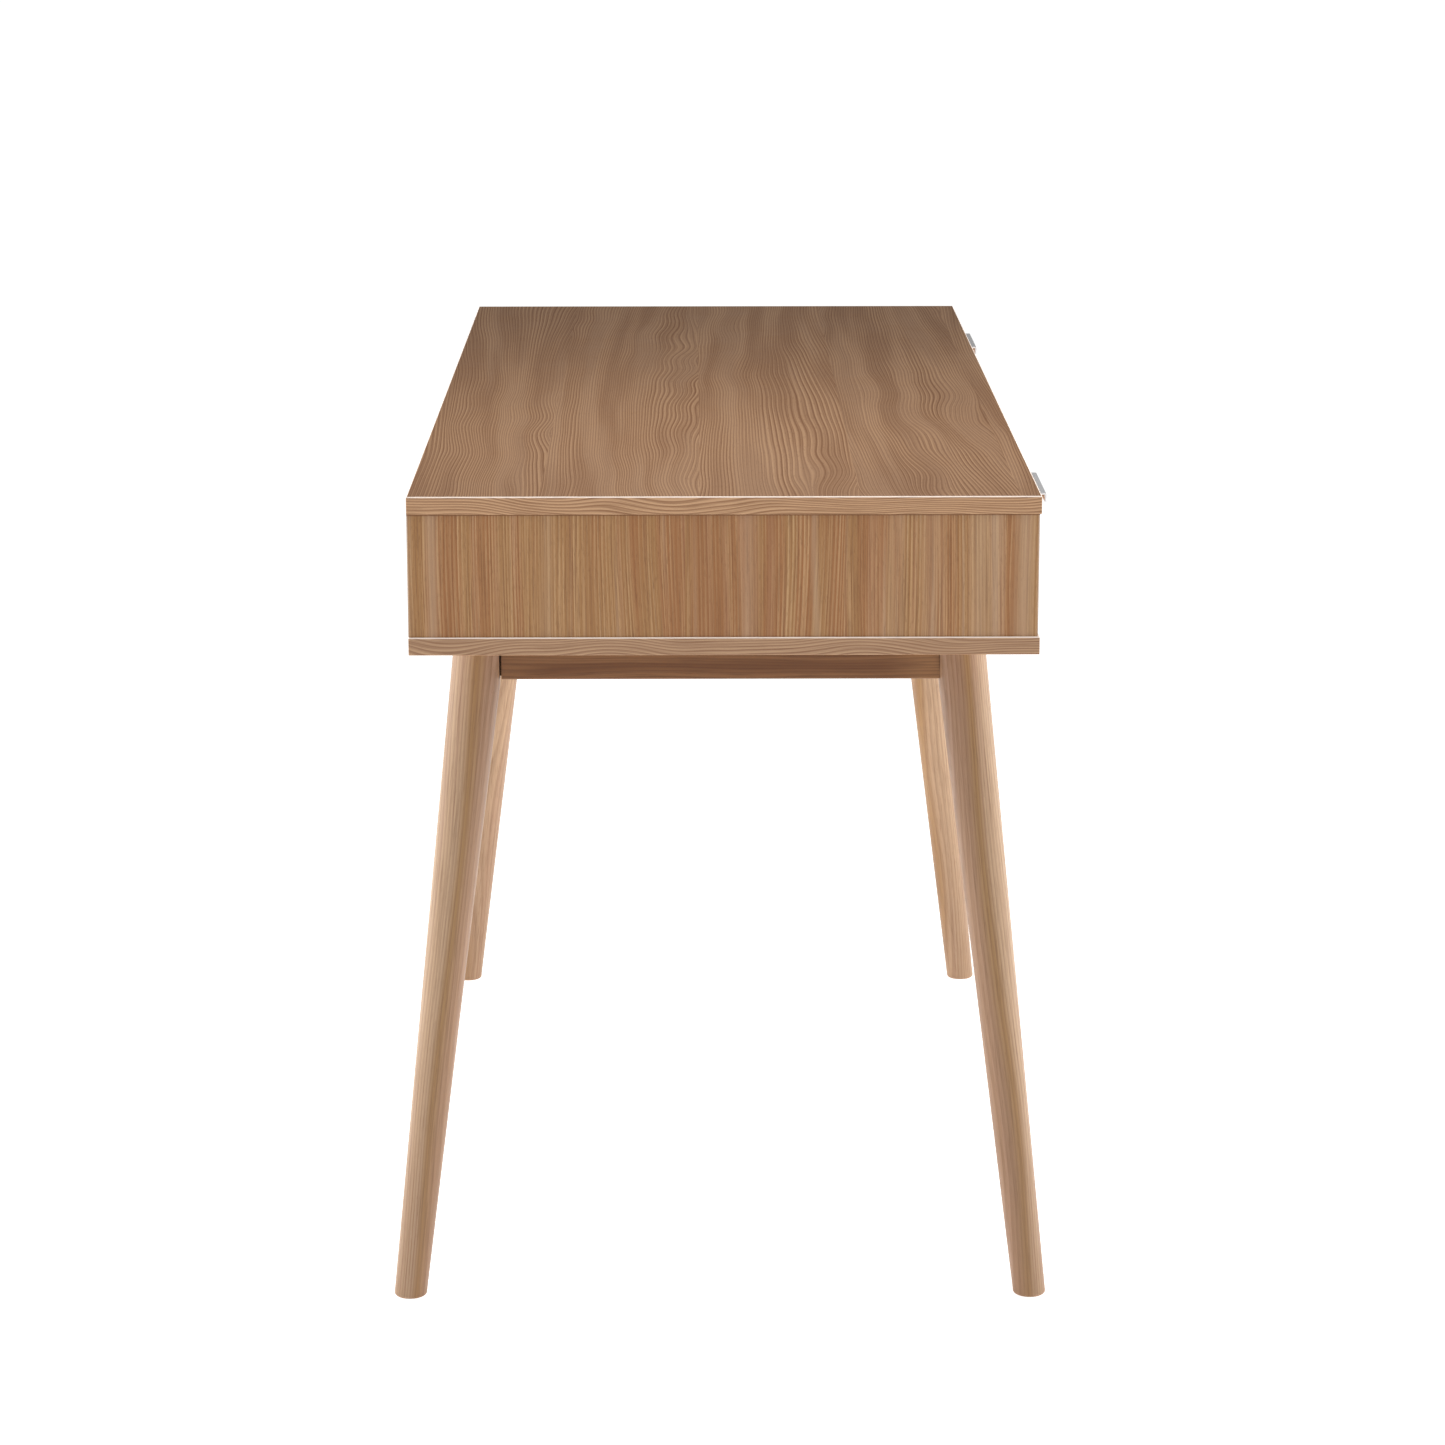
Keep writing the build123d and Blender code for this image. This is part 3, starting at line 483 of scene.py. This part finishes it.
def end_figure(finish, along, across, seed):
    """The print on the end panels: the case boards' print, with paler and deeper strips in set places."""
    colour, relief = case_figure(finish, along, across, seed)
    place = across + finish.bend(STRIP_BEND, across, along, seed)
    for strips, shade in ((PALE_STRIPS, CASE_GREY), (DEEP_STRIPS, CASE_DEEP)):
        shown = 0
        for middle, half_width, strength in strips:
            shown = shown + place.stripe(middle * MM, half_width * MM) * strength
        colour = finish.mix(shown, colour, shade)
    return colour, relief


BAND_BEND = Bend(width=0.05, length=0.15, reach=0.040, seed=8.8)
BAND_LINES = Lines(spacing=2.6 * MM, tone=BAND_DARK, strength=0.66, seed=2.6)
BAND_HAIRS = Streaks(
    width=0.9 * MM, length=0.06, fade=(0.50, 0.68), seed=4.1, detail=2.0, tone=BAND_DARK, strength=0.50
)


def edge_band(finish, along, thin, seed, pale):
    """The print on a board's edge band: thin darker lines that drift slowly across the band.

    pale scales the band's own tone, since two rolls of band are never quite alike.
    """
    ring = thin + finish.bend(BAND_BEND, thin, along, seed)
    lines = growth_lines(finish, BAND_LINES, ring, along, seed)
    colour = finish.lay(tuple(pale * part for part in BAND_TAN), BAND_LINES, lines)
    colour = finish.lay(colour, BAND_HAIRS, finish.mask(BAND_HAIRS, ring, along, seed))
    return colour, lines * -1


FACE_TURN = (0.55, 0.75)        # how squarely a surface faces through the board, to be its face
SIDE_TURN = (0.6, 0.8)          # and along Y, to be its long side
LIT_TURN = (0.12, 0.45)         # and to show its rims, on a flat board only on its upper face, where they are partly painted highlight
# strength of the pale rims; on a flat board the rims and the rounded edge are partly painted highlight
FLAT_RIM_HIGHLIGHT, UPRIGHT_RIM = 0.9, 0.35
LONG_SIDE_PAINTED_SHADE = 0.30
SIDE_CREST_LOSS = 0.6           # how much weaker the painted highlight on the rounded edge is on a long side
TOP_SHADOW_STRENGTH = 0.75
PRINT_RELIEF = 0.008 * MM
SMUDGE = 0.06
LAMINATE_ROUGHNESS, SMUDGE_ROUGHNESS, PRINT_GLOSS = 0.50, 0.12, 0.03


def laminate(node, axes, figure, seed, rims, reach=RIM, specular=0.4, band=1.0, painted_shade=0.0):
    """A board faced with printed wood and banded at its edges.

    axes names the board's own directions: along the grain, across it, and through its thickness. The faces
    take the figure and the edges the band. The band's own thickness shows on the face as a pale line beside
    the edges that rims names by their directions: on both faces of a board that stands, and on the upper
    face only of one that lies flat, where the near-white line is also a painted highlight. reach is how far
    in that line comes. A flat board's band is rounded over, with a painted highlight along its upper edge. A
    board that stands upright along the grain has a painted shadow line where it meets the top's overhang.
    The band along the desk's long sides is darkened as painted shade, and the whole board takes a given
    amount of painted shade.
    """
    finish = Finish(f"{node}_laminate")
    low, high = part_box(node)
    lies_flat, stands = axes[2] == "z", axes[0] == "z"
    place = dict(zip(AXES, finish.xyz(finish.place)))
    facing = dict(zip(AXES, finish.xyz(finish.normal)))
    along, across, thin = (place[axis] for axis in axes)
    through = facing[axes[2]]
    face_colour, face_relief = figure(finish, along, across, seed)
    band_colour, band_relief = edge_band(finish, along + across, thin, seed, band)
    on_face = abs(through).step(*FACE_TURN)
    pale_rim_and_highlight = 0
    for axis in rims:
        edge = AXES.index(axis)
        middle, half = (low[edge] + high[edge]) / 2, (high[edge] - low[edge]) / 2
        pale_rim_and_highlight = pale_rim_and_highlight + abs(place[axis] - middle).step(half - reach - RIM_FADE, half - reach)
    lit = through if lies_flat else abs(through)
    pale_rim_and_highlight = pale_rim_and_highlight * lit.step(*LIT_TURN)

    long_side = abs(facing["y"]).step(*SIDE_TURN)
    # The band on the long sides, which face the side lights, is darkened as painted shade.
    band_colour = finish.mix(long_side * LONG_SIDE_PAINTED_SHADE, band_colour, BAND_DARK)
    colour = finish.mix(on_face, band_colour, face_colour)
    # Pale line of the band's thickness beside the rims; on a flat board's upper face it is also a painted
    # highlight.
    colour = finish.mix(pale_rim_and_highlight * (FLAT_RIM_HIGHLIGHT if lies_flat else UPRIGHT_RIM), colour, EDGE_PALE_AND_HIGHLIGHT)
    # The whole board darkened towards the case's dark tone as painted shade.
    colour = finish.mix(painted_shade, colour, CASE_DARK)
    # A flat board's rounded upper edge is painted near-white as a highlight, weaker on the long sides.
    if lies_flat:
        crest_highlight = thin.step(high.z - CREST, high.z - CREST * 0.6) * (1 - on_face)
        colour = finish.mix(crest_highlight * (FLAT_RIM_HIGHLIGHT - long_side * SIDE_CREST_LOSS), colour, EDGE_PALE_AND_HIGHLIGHT)
    if stands:
        # A painted shadow line just under the top's overhang, on an upright board.
        painted_shadow_under_top = along.step(high.z - JOINT_SHADOW, high.z - JOINT_SHADOW / 3)
        colour = finish.mix(painted_shadow_under_top * TOP_SHADOW_STRENGTH, colour, CASE_DARK)
    relief = (face_relief * on_face + band_relief * (1 - on_face)) * PRINT_RELIEF
    smudge = finish.speckle(SMUDGE, seed)
    roughness = LAMINATE_ROUGHNESS + smudge * SMUDGE_ROUGHNESS - face_relief * PRINT_GLOSS
    return finish.close(colour, roughness, relief, specular=specular)


# ---------------------------------------------------------------- solid wood
LEG_FOOT_RADIUS = 14.2 * MM
LEG_TOP_RADIUS = 22 * MM
PITH_AWAY = 55 * MM             # from a leg's axis to the centre of its growth rings
FLAT_MARGIN = 0.1 * MM

ASH_TAN = tone(178, 147, 117)
ASH_OCHRE = tone(150, 113, 70)
ASH_PINK = tone(160, 126, 102)
ASH_UMBER = tone(140, 104, 76)
ASH_DARK = tone(112, 78, 50)
# near-black painted shade for the gaps where the rails meet the legs
GAP_PAINTED_SHADE = tone(42, 28, 20)
# The rail's tones are darker than the legs' ash, partly as painted shade for the shadow under the case.
RAIL_BROWN = tone(105, 68, 38)
RAIL_DEEP = tone(80, 50, 30)
RAIL_PALE_STREAK_AND_LIT_END = tone(126, 88, 55)
RAIL_END_PAINTED_LIGHT = tone(150, 110, 72)


def leg_axis(name):
    """A point on the leg's axis at the floor, and the axis's direction, from the node's box.

    The foot reaches furthest out and the leg's head furthest in, each by its own radius.
    """
    low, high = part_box(name)
    foot, head = Vector((0, 0, low.z)), Vector((0, 0, high.z))
    for axis in (0, 1):
        side = math.copysign(1, low[axis] + high[axis])
        near, far = sorted((abs(low[axis]), abs(high[axis])))
        foot[axis] = side * (far - LEG_FOOT_RADIUS)
        head[axis] = side * (near + LEG_TOP_RADIUS)
    return foot, (head - foot).normalized()


LEG_WOOD = {                    # where each leg's pith lies in radians, and its heartwood in millimetres
    "leg_back_left": (-1.57, (8.5, 7)),
    "leg_front_left": (1.40, (7, 7)),
    "leg_back_right": (0.2, (18, 5)),
    "leg_front_right": (1.2, (16, 5)),
}
LEG_BEND = Bend(width=0.050, length=0.30, reach=0.020, detail=0.0)
ASH_LINES = Lines(spacing=2.9 * MM, tone=ASH_DARK, strength=0.34, seed=3)
ASH_PINK_STRIPS = Streaks(
    width=5 * MM, length=0.7, fade=(0.50, 0.64), seed=2, tone=ASH_PINK, strength=0.5
)
ASH_FIBRES = Fibres(width=0.9 * MM, length=0.05, fade=(0.50, 0.72), tone=ASH_DARK, strength=0.45)
ASH_PORES = Fibres(
    width=0.6 * MM, length=0.008, fade=(0.55, 0.75), tone=ASH_DARK, strength=0.22, detail=1.0
)
UMBER_STRENGTH, OCHRE_STRENGTH = 0.75, 0.95
FOOT_SHADE_HEIGHT, FOOT_SHADE = 0.30, 0.30
ASH_RELIEF = 0.02 * MM
ASH_ROUGHNESS, ASH_FIBRE_ROUGHNESS = 0.42, 0.15


def solid_leg(node, turn, heart, seed):
    """A turned leg of clear-lacquered ash, its growth rings cut along the leg's own axis.

    The rings are circles about a pith that lies off the leg, so each layer crosses the round leg as a long
    stripe, and a slow noise along the leg draws the stripes out into tongues. turn says where the pith is.
    heart is the middle and half width of the leg's ochre heartwood, measured from its axis. The wood beyond
    it is umber, and the whole leg is a little darker near the foot.
    """
    finish = Finish(f"{node}_ash")
    foot, axis = leg_axis(node)
    side = axis.cross(Vector((math.sin(turn), math.cos(turn), 0))).normalized()
    along = finish.distance_along(axis, foot)
    aside = finish.distance_along(side, foot)
    deep = finish.distance_along(axis.cross(side), foot)
    ring = ((aside + PITH_AWAY) ** 2 + deep ** 2) ** 0.5 - PITH_AWAY
    ring = ring + finish.bend(LEG_BEND, aside, along, seed)
    middle, half_width = (part * MM for part in heart)
    umber = ring.step(middle, middle + half_width * 0.7)
    fibre = finish.fibres(ASH_FIBRES, aside, deep, along, seed)
    pores = finish.fibres(ASH_PORES, aside, deep, along, seed)
    pink = finish.mask(ASH_PINK_STRIPS, ring, along, seed)
    near_foot = 1 - along.step(0.0, FOOT_SHADE_HEIGHT)
    colour = finish.mix(umber * UMBER_STRENGTH, ASH_TAN, ASH_UMBER)
    colour = finish.lay(colour, ASH_PINK_STRIPS, pink)
    colour = finish.mix(ring.stripe(middle, half_width) * OCHRE_STRENGTH, colour, ASH_OCHRE)
    colour = finish.lay(colour, ASH_LINES, growth_lines(finish, ASH_LINES, ring, along, seed))
    colour = finish.lay(colour, ASH_FIBRES, fibre.step(*ASH_FIBRES.fade))
    colour = finish.mix(near_foot * FOOT_SHADE, colour, ASH_DARK)
    colour = finish.lay(colour, ASH_PORES, pores.step(*ASH_PORES.fade))
    # The leg's flats beside the rails are painted near-black as painted shade for the gap between leg and
    # rail.
    colour = finish.mix(milled_flat(finish), colour, GAP_PAINTED_SHADE)
    relief = (fibre + pores) * -ASH_RELIEF
    return finish.close(colour, ASH_ROUGHNESS + fibre * ASH_FIBRE_ROUGHNESS, relief, specular=0.45, coat=0.1)


def milled_flat(finish):
    """1 where the rails butt against a leg's flats, level with the rails' ends, and 0 elsewhere."""
    x, y, z = finish.xyz(finish.place)
    flat_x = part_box("front_rail")[1].x + FLAT_MARGIN
    flat_y = -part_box("end_rail_left")[0].y + FLAT_MARGIN
    beside_rail = z.above(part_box("front_rail")[0].z)
    return (1 - abs(x).above(flat_x) * abs(y).above(flat_y)) * beside_rail


RAIL_BEND = Bend(width=0.03, length=0.20, reach=0.012, seed=3.3)
RAIL_SLANT = 0.4                # how much of the thickness the grain crosses
RAIL_BROAD = Streaks(width=8 * MM, length=0.5, fade=(0.4, 0.62), seed=1.0)
RAIL_LINES = Lines(spacing=3.4 * MM, tone=RAIL_DEEP, strength=0.35, seed=5.0)
RAIL_FIBRES = Fibres(width=0.8 * MM, length=0.045, fade=(0.50, 0.72), tone=RAIL_DEEP, strength=0.5)
LIT_END_FROM = 0.72                # where the painted light on the ends begins, as a part of half the rail's length
LOW_END_PAINTED_LIGHT = 0.6                  # and how much more painted light the far end of it takes
RAIL_RELIEF = 0.03 * MM
RAIL_ROUGHNESS, RAIL_FIBRE_ROUGHNESS = 0.45, 0.2


def rail_wood(node, axes):
    """A straight-grained rail, lacquered, darker partly as painted shade for the shadow under the case.
    Its ends are paler as painted light, and most at one of them.
    """
    finish = Finish(f"{node}_wood")
    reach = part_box(node)[1][AXES.index(axes[0])]
    place = dict(zip(AXES, finish.xyz(finish.place)))
    along, across, thin = (place[axis] for axis in axes)
    ring = across + thin * RAIL_SLANT + finish.bend(RAIL_BEND, across, along)
    broad = finish.mask(RAIL_BROAD, ring, along)
    lines = growth_lines(finish, RAIL_LINES, ring, along)
    fibre = finish.fibres(RAIL_FIBRES, ring, thin, along)
    # The ends are painted paler as painted light, where the side lights reach under the case.
    lit_end = abs(along).step(reach * LIT_END_FROM, reach)
    lit_low_end = (0 - along).step(reach * LIT_END_FROM, reach)
    colour = finish.mix(broad * (1 - lit_end) + lit_end, RAIL_BROWN, RAIL_PALE_STREAK_AND_LIT_END)
    colour = finish.mix(lit_low_end * LOW_END_PAINTED_LIGHT, colour, RAIL_END_PAINTED_LIGHT)
    colour = finish.lay(colour, RAIL_LINES, lines)
    colour = finish.lay(colour, RAIL_FIBRES, fibre.step(*RAIL_FIBRES.fade))
    roughness = RAIL_ROUGHNESS + fibre * RAIL_FIBRE_ROUGHNESS
    return finish.close(colour, roughness, fibre * -RAIL_RELIEF, specular=0.4)


# ---------------------------------------------------------------- drawer boxes
FOIL_CREAM = tone(222, 205, 180)
FOIL_LINE = tone(198, 176, 146)
FOIL_PALE = tone(232, 220, 200)
FIBRE_BROWN = tone(126, 92, 64)
FIBRE_DARK = tone(92, 64, 42)


FOIL_BEND = Bend(width=0.04, length=0.20, reach=0.014)
FOIL_BROAD = Streaks(width=0.013, length=0.5, fade=(0.42, 0.62), seed=1)
FOIL_LINES = Lines(spacing=4.0 * MM, tone=FOIL_LINE, strength=0.5, seed=2)
FOIL_HAIRS = Streaks(
    width=0.9 * MM, length=0.05, fade=(0.52, 0.74), seed=3, detail=2.0, tone=FOIL_LINE, strength=0.5
)
FOIL_RELIEF = 0.015 * MM
FOIL_ROUGHNESS, FOIL_HAIR_ROUGHNESS = 0.5, 0.15


def foil_board(node, axes, seed):
    """A drawer side or back in pale wood-look paper foil, with fine straight grain."""
    finish = Finish(f"{node}_foil")
    place = dict(zip(AXES, finish.xyz(finish.place)))
    along, across, thin = (place[axis] for axis in axes)
    ring = across + thin + finish.bend(FOIL_BEND, across, along, seed)
    hair = finish.hairs(FOIL_HAIRS, ring, along, seed)
    colour = finish.mix(finish.mask(FOIL_BROAD, ring, along, seed), FOIL_CREAM, FOIL_PALE)
    colour = finish.lay(colour, FOIL_LINES, growth_lines(finish, FOIL_LINES, ring, along, seed))
    colour = finish.lay(colour, FOIL_HAIRS, hair.step(*FOIL_HAIRS.fade))
    roughness = FOIL_ROUGHNESS + hair * FOIL_HAIR_ROUGHNESS
    return finish.close(colour, roughness, hair * -FOIL_RELIEF, specular=0.4)


SCREEN_PITCH = 1.6 * MM
FIBRE_SPECK, CREAM_FLECK = 2.5 * MM, 9 * MM
FIBRE_FADE, FLECK_FADE, UP_TURN = (0.40, 0.66), (0.40, 0.70), (0.3, 0.7)
SCREEN_STRENGTH, FLECK_STRENGTH = 0.35, 0.5
SCREEN_RELIEF, FIBRE_RELIEF, FLECK_RELIEF = 0.08 * MM, 0.05 * MM, 0.02 * MM
BACK_ROUGHNESS, FACE_GLOSS = 0.75, 0.3


def hardboard(node, seed):
    """A thin drawer bottom: cream lacquer above, and a brown screen-pressed back below.

    The back's relief is the product of two sine waves, one across the drawer and one along it.
    """
    finish = Finish(f"{node}_hardboard")
    x, y, z = finish.xyz(finish.place)
    upward = finish.xyz(finish.normal)[2]
    turn = 2 * math.pi / SCREEN_PITCH
    screen = (x * turn).wave() * (y * turn).wave()
    fibres = finish.speckle(FIBRE_SPECK, seed, 3.0)
    flecks = finish.speckle(CREAM_FLECK, seed + 4, 1.0)
    back = finish.mix(fibres.step(*FIBRE_FADE), FIBRE_BROWN, FIBRE_DARK)
    back = finish.mix(screen.step(0.0, 1.0) * SCREEN_STRENGTH, back, FIBRE_DARK)
    face = finish.mix(flecks.step(*FLECK_FADE) * FLECK_STRENGTH, FOIL_PALE, FOIL_CREAM)
    on_face = upward.step(*UP_TURN)
    pressed = screen * SCREEN_RELIEF + fibres * FIBRE_RELIEF
    relief = pressed * (1 - on_face) + flecks * FLECK_RELIEF
    roughness = BACK_ROUGHNESS - on_face * FACE_GLOSS
    return finish.close(finish.mix(on_face, back, face), roughness, relief, specular=0.35)


# ---------------------------------------------------------------- metal and plastic
STREAK_LENGTHS = 90             # a brushed streak's length, in its own widths
METAL_SMUDGE = 0.018
STREAK_FADE, STREAK_DULLNESS, SMUDGE_DULLNESS = (0.35, 0.70), 0.6, 0.3
STREAK_ROUGHNESS, METAL_SMUDGE_ROUGHNESS = 0.18, 0.12
STREAK_RELIEF = 0.006 * MM


def brushed_metal(name, bright, dull, axes, streak, roughness):
    """Metal brushed or drawn one way: fine streaks in colour, roughness and relief, and soft smudges."""
    finish = Finish(name)
    place = dict(zip(AXES, finish.xyz(finish.place)))
    along, across, thin = (place[axis] for axis in axes)
    length = streak * STREAK_LENGTHS
    lines = finish.noise(finish.vector(across / streak, thin / streak, along / length), 3.0)
    smudge = finish.speckle(METAL_SMUDGE, 3.0, 3.0)
    dulled = lines.step(*STREAK_FADE) * STREAK_DULLNESS + smudge * SMUDGE_DULLNESS
    colour = finish.mix(dulled, bright, dull)
    rough = roughness + (lines - 0.5) * STREAK_ROUGHNESS + (smudge - 0.5) * METAL_SMUDGE_ROUGHNESS
    return finish.close(colour, rough, lines * STREAK_RELIEF, metallic=1.0)


CLOUD_GRAINS = 8                # a cloud's size on plated metal, in grains
CLOUD_FADE, CLOUD_ROUGHNESS = (0.35, 0.68), 0.25
PIT_ROUGHNESS, PIT_DEPTH = 0.08, 0.03


def plated_metal(name, bright, dull, grain, roughness):
    """Zinc-plated or cast metal: a cloudy surface with fine pits, a little duller where it is cloudy."""
    finish = Finish(name)
    cloud = finish.speckle(grain * CLOUD_GRAINS, 1.0, 3.0)
    pits = finish.speckle(grain, 5.0, 2.0)
    colour = finish.mix(cloud.step(*CLOUD_FADE), bright, dull)
    rough = roughness + (cloud - 0.5) * CLOUD_ROUGHNESS + pits * PIT_ROUGHNESS
    return finish.close(colour, rough, pits * grain * PIT_DEPTH, metallic=1.0)


NYLON_WHITE, NYLON_YELLOWED = tone(236, 234, 226), tone(222, 218, 204)
NYLON_CLOUD, NYLON_TEXTURE, NYLON_FADE = 0.010, 0.35 * MM, (0.35, 0.70)
NYLON_ROUGHNESS, TEXTURE_ROUGHNESS, TEXTURE_RELIEF = 0.42, 0.15, 0.02 * MM


def moulded_nylon():
    """White moulded nylon with a faint matt texture and a slightly yellowed cast in places."""
    finish = Finish("white_nylon")
    cloud = finish.speckle(NYLON_CLOUD, 2.0)
    texture = finish.speckle(NYLON_TEXTURE, 7.0)
    colour = finish.mix(cloud.step(*NYLON_FADE), NYLON_WHITE, NYLON_YELLOWED)
    return finish.close(colour, NYLON_ROUGHNESS + texture * TEXTURE_ROUGHNESS, texture * TEXTURE_RELIEF)


# ---------------------------------------------------------------- the whole desk
def finish_for(name, seed):
    """The finish of one node, chosen by what its name says it is."""
    if name.startswith("leg_") and name != "leg_nuts":
        return solid_leg(name, *LEG_WOOD[name], seed)
    if name.startswith("end_panel"):
        return laminate(name, "zyx", end_figure, seed, "y")
    if name.startswith("divider"):
        return laminate(name, "zyx", case_figure, seed, "y")
    if name.endswith("_front"):
        return laminate(name, "xzy", case_figure, seed, "xz", painted_shade=FRONT_PAINTED_SHADE)
    if name == "back_panel":
        return laminate(name, "xzy", case_figure, seed, "", painted_shade=FRONT_PAINTED_SHADE)
    if name.startswith("end_rail"):
        return rail_wood(name, "yzx")
    if name.endswith("_rail"):
        return rail_wood(name, "xzy")
    if "_drawer_side_" in name:
        return foil_board(name, "yzx", seed)
    if name.endswith("_drawer_back"):
        return foil_board(name, "xzy", seed)
    if name.endswith("_drawer_bottom"):
        return hardboard(name, seed)
    return shared_finish(name)


def shared_finish(name):
    """The metal or plastic that a small part shares with its like."""
    if name.endswith("_pull"):
        return satin_aluminium
    if "glides" in name:
        return nylon
    if "cams" in name:
        return cast_zinc
    if "runner" in name and "screws" not in name:
        return runner_steel
    return plated_steel


SEED_STEP = 1.37                # from one node's noise to the next
FRONT_PAINTED_SHADE = 0.30              # painted shade on the drawer fronts and the back panel, which face the side lights

place_camera()
make_studio()
make_floor()

satin_aluminium = brushed_metal(
    "satin_aluminium", (0.88, 0.88, 0.89), (0.74, 0.74, 0.75), "xyz", 0.25 * MM, 0.36
)
runner_steel = brushed_metal("runner_steel", (0.66, 0.67, 0.69), (0.50, 0.51, 0.53), "yzx", 0.5 * MM, 0.34)
plated_steel = plated_metal("plated_steel", (0.70, 0.71, 0.73), (0.55, 0.56, 0.58), 0.5 * MM, 0.32)
cast_zinc = plated_metal("cast_zinc", (0.56, 0.56, 0.57), (0.42, 0.42, 0.43), 0.4 * MM, 0.48)
nylon = moulded_nylon()
own_finishes = {
    "desk_top": laminate("desk_top", "xyz", top_figure, 12.9, "xy", specular=0.12, band=1.10),
    "case_bottom": laminate("case_bottom", "xyz", case_figure, 6.1, "xy", reach=BOTTOM_RIM, band=0.90),
}
for number, (name, node) in enumerate(sorted(nodes.items())):
    node.data.materials.clear()
    node.data.materials.append(own_finishes.get(name) or finish_for(name, number * SEED_STEP))
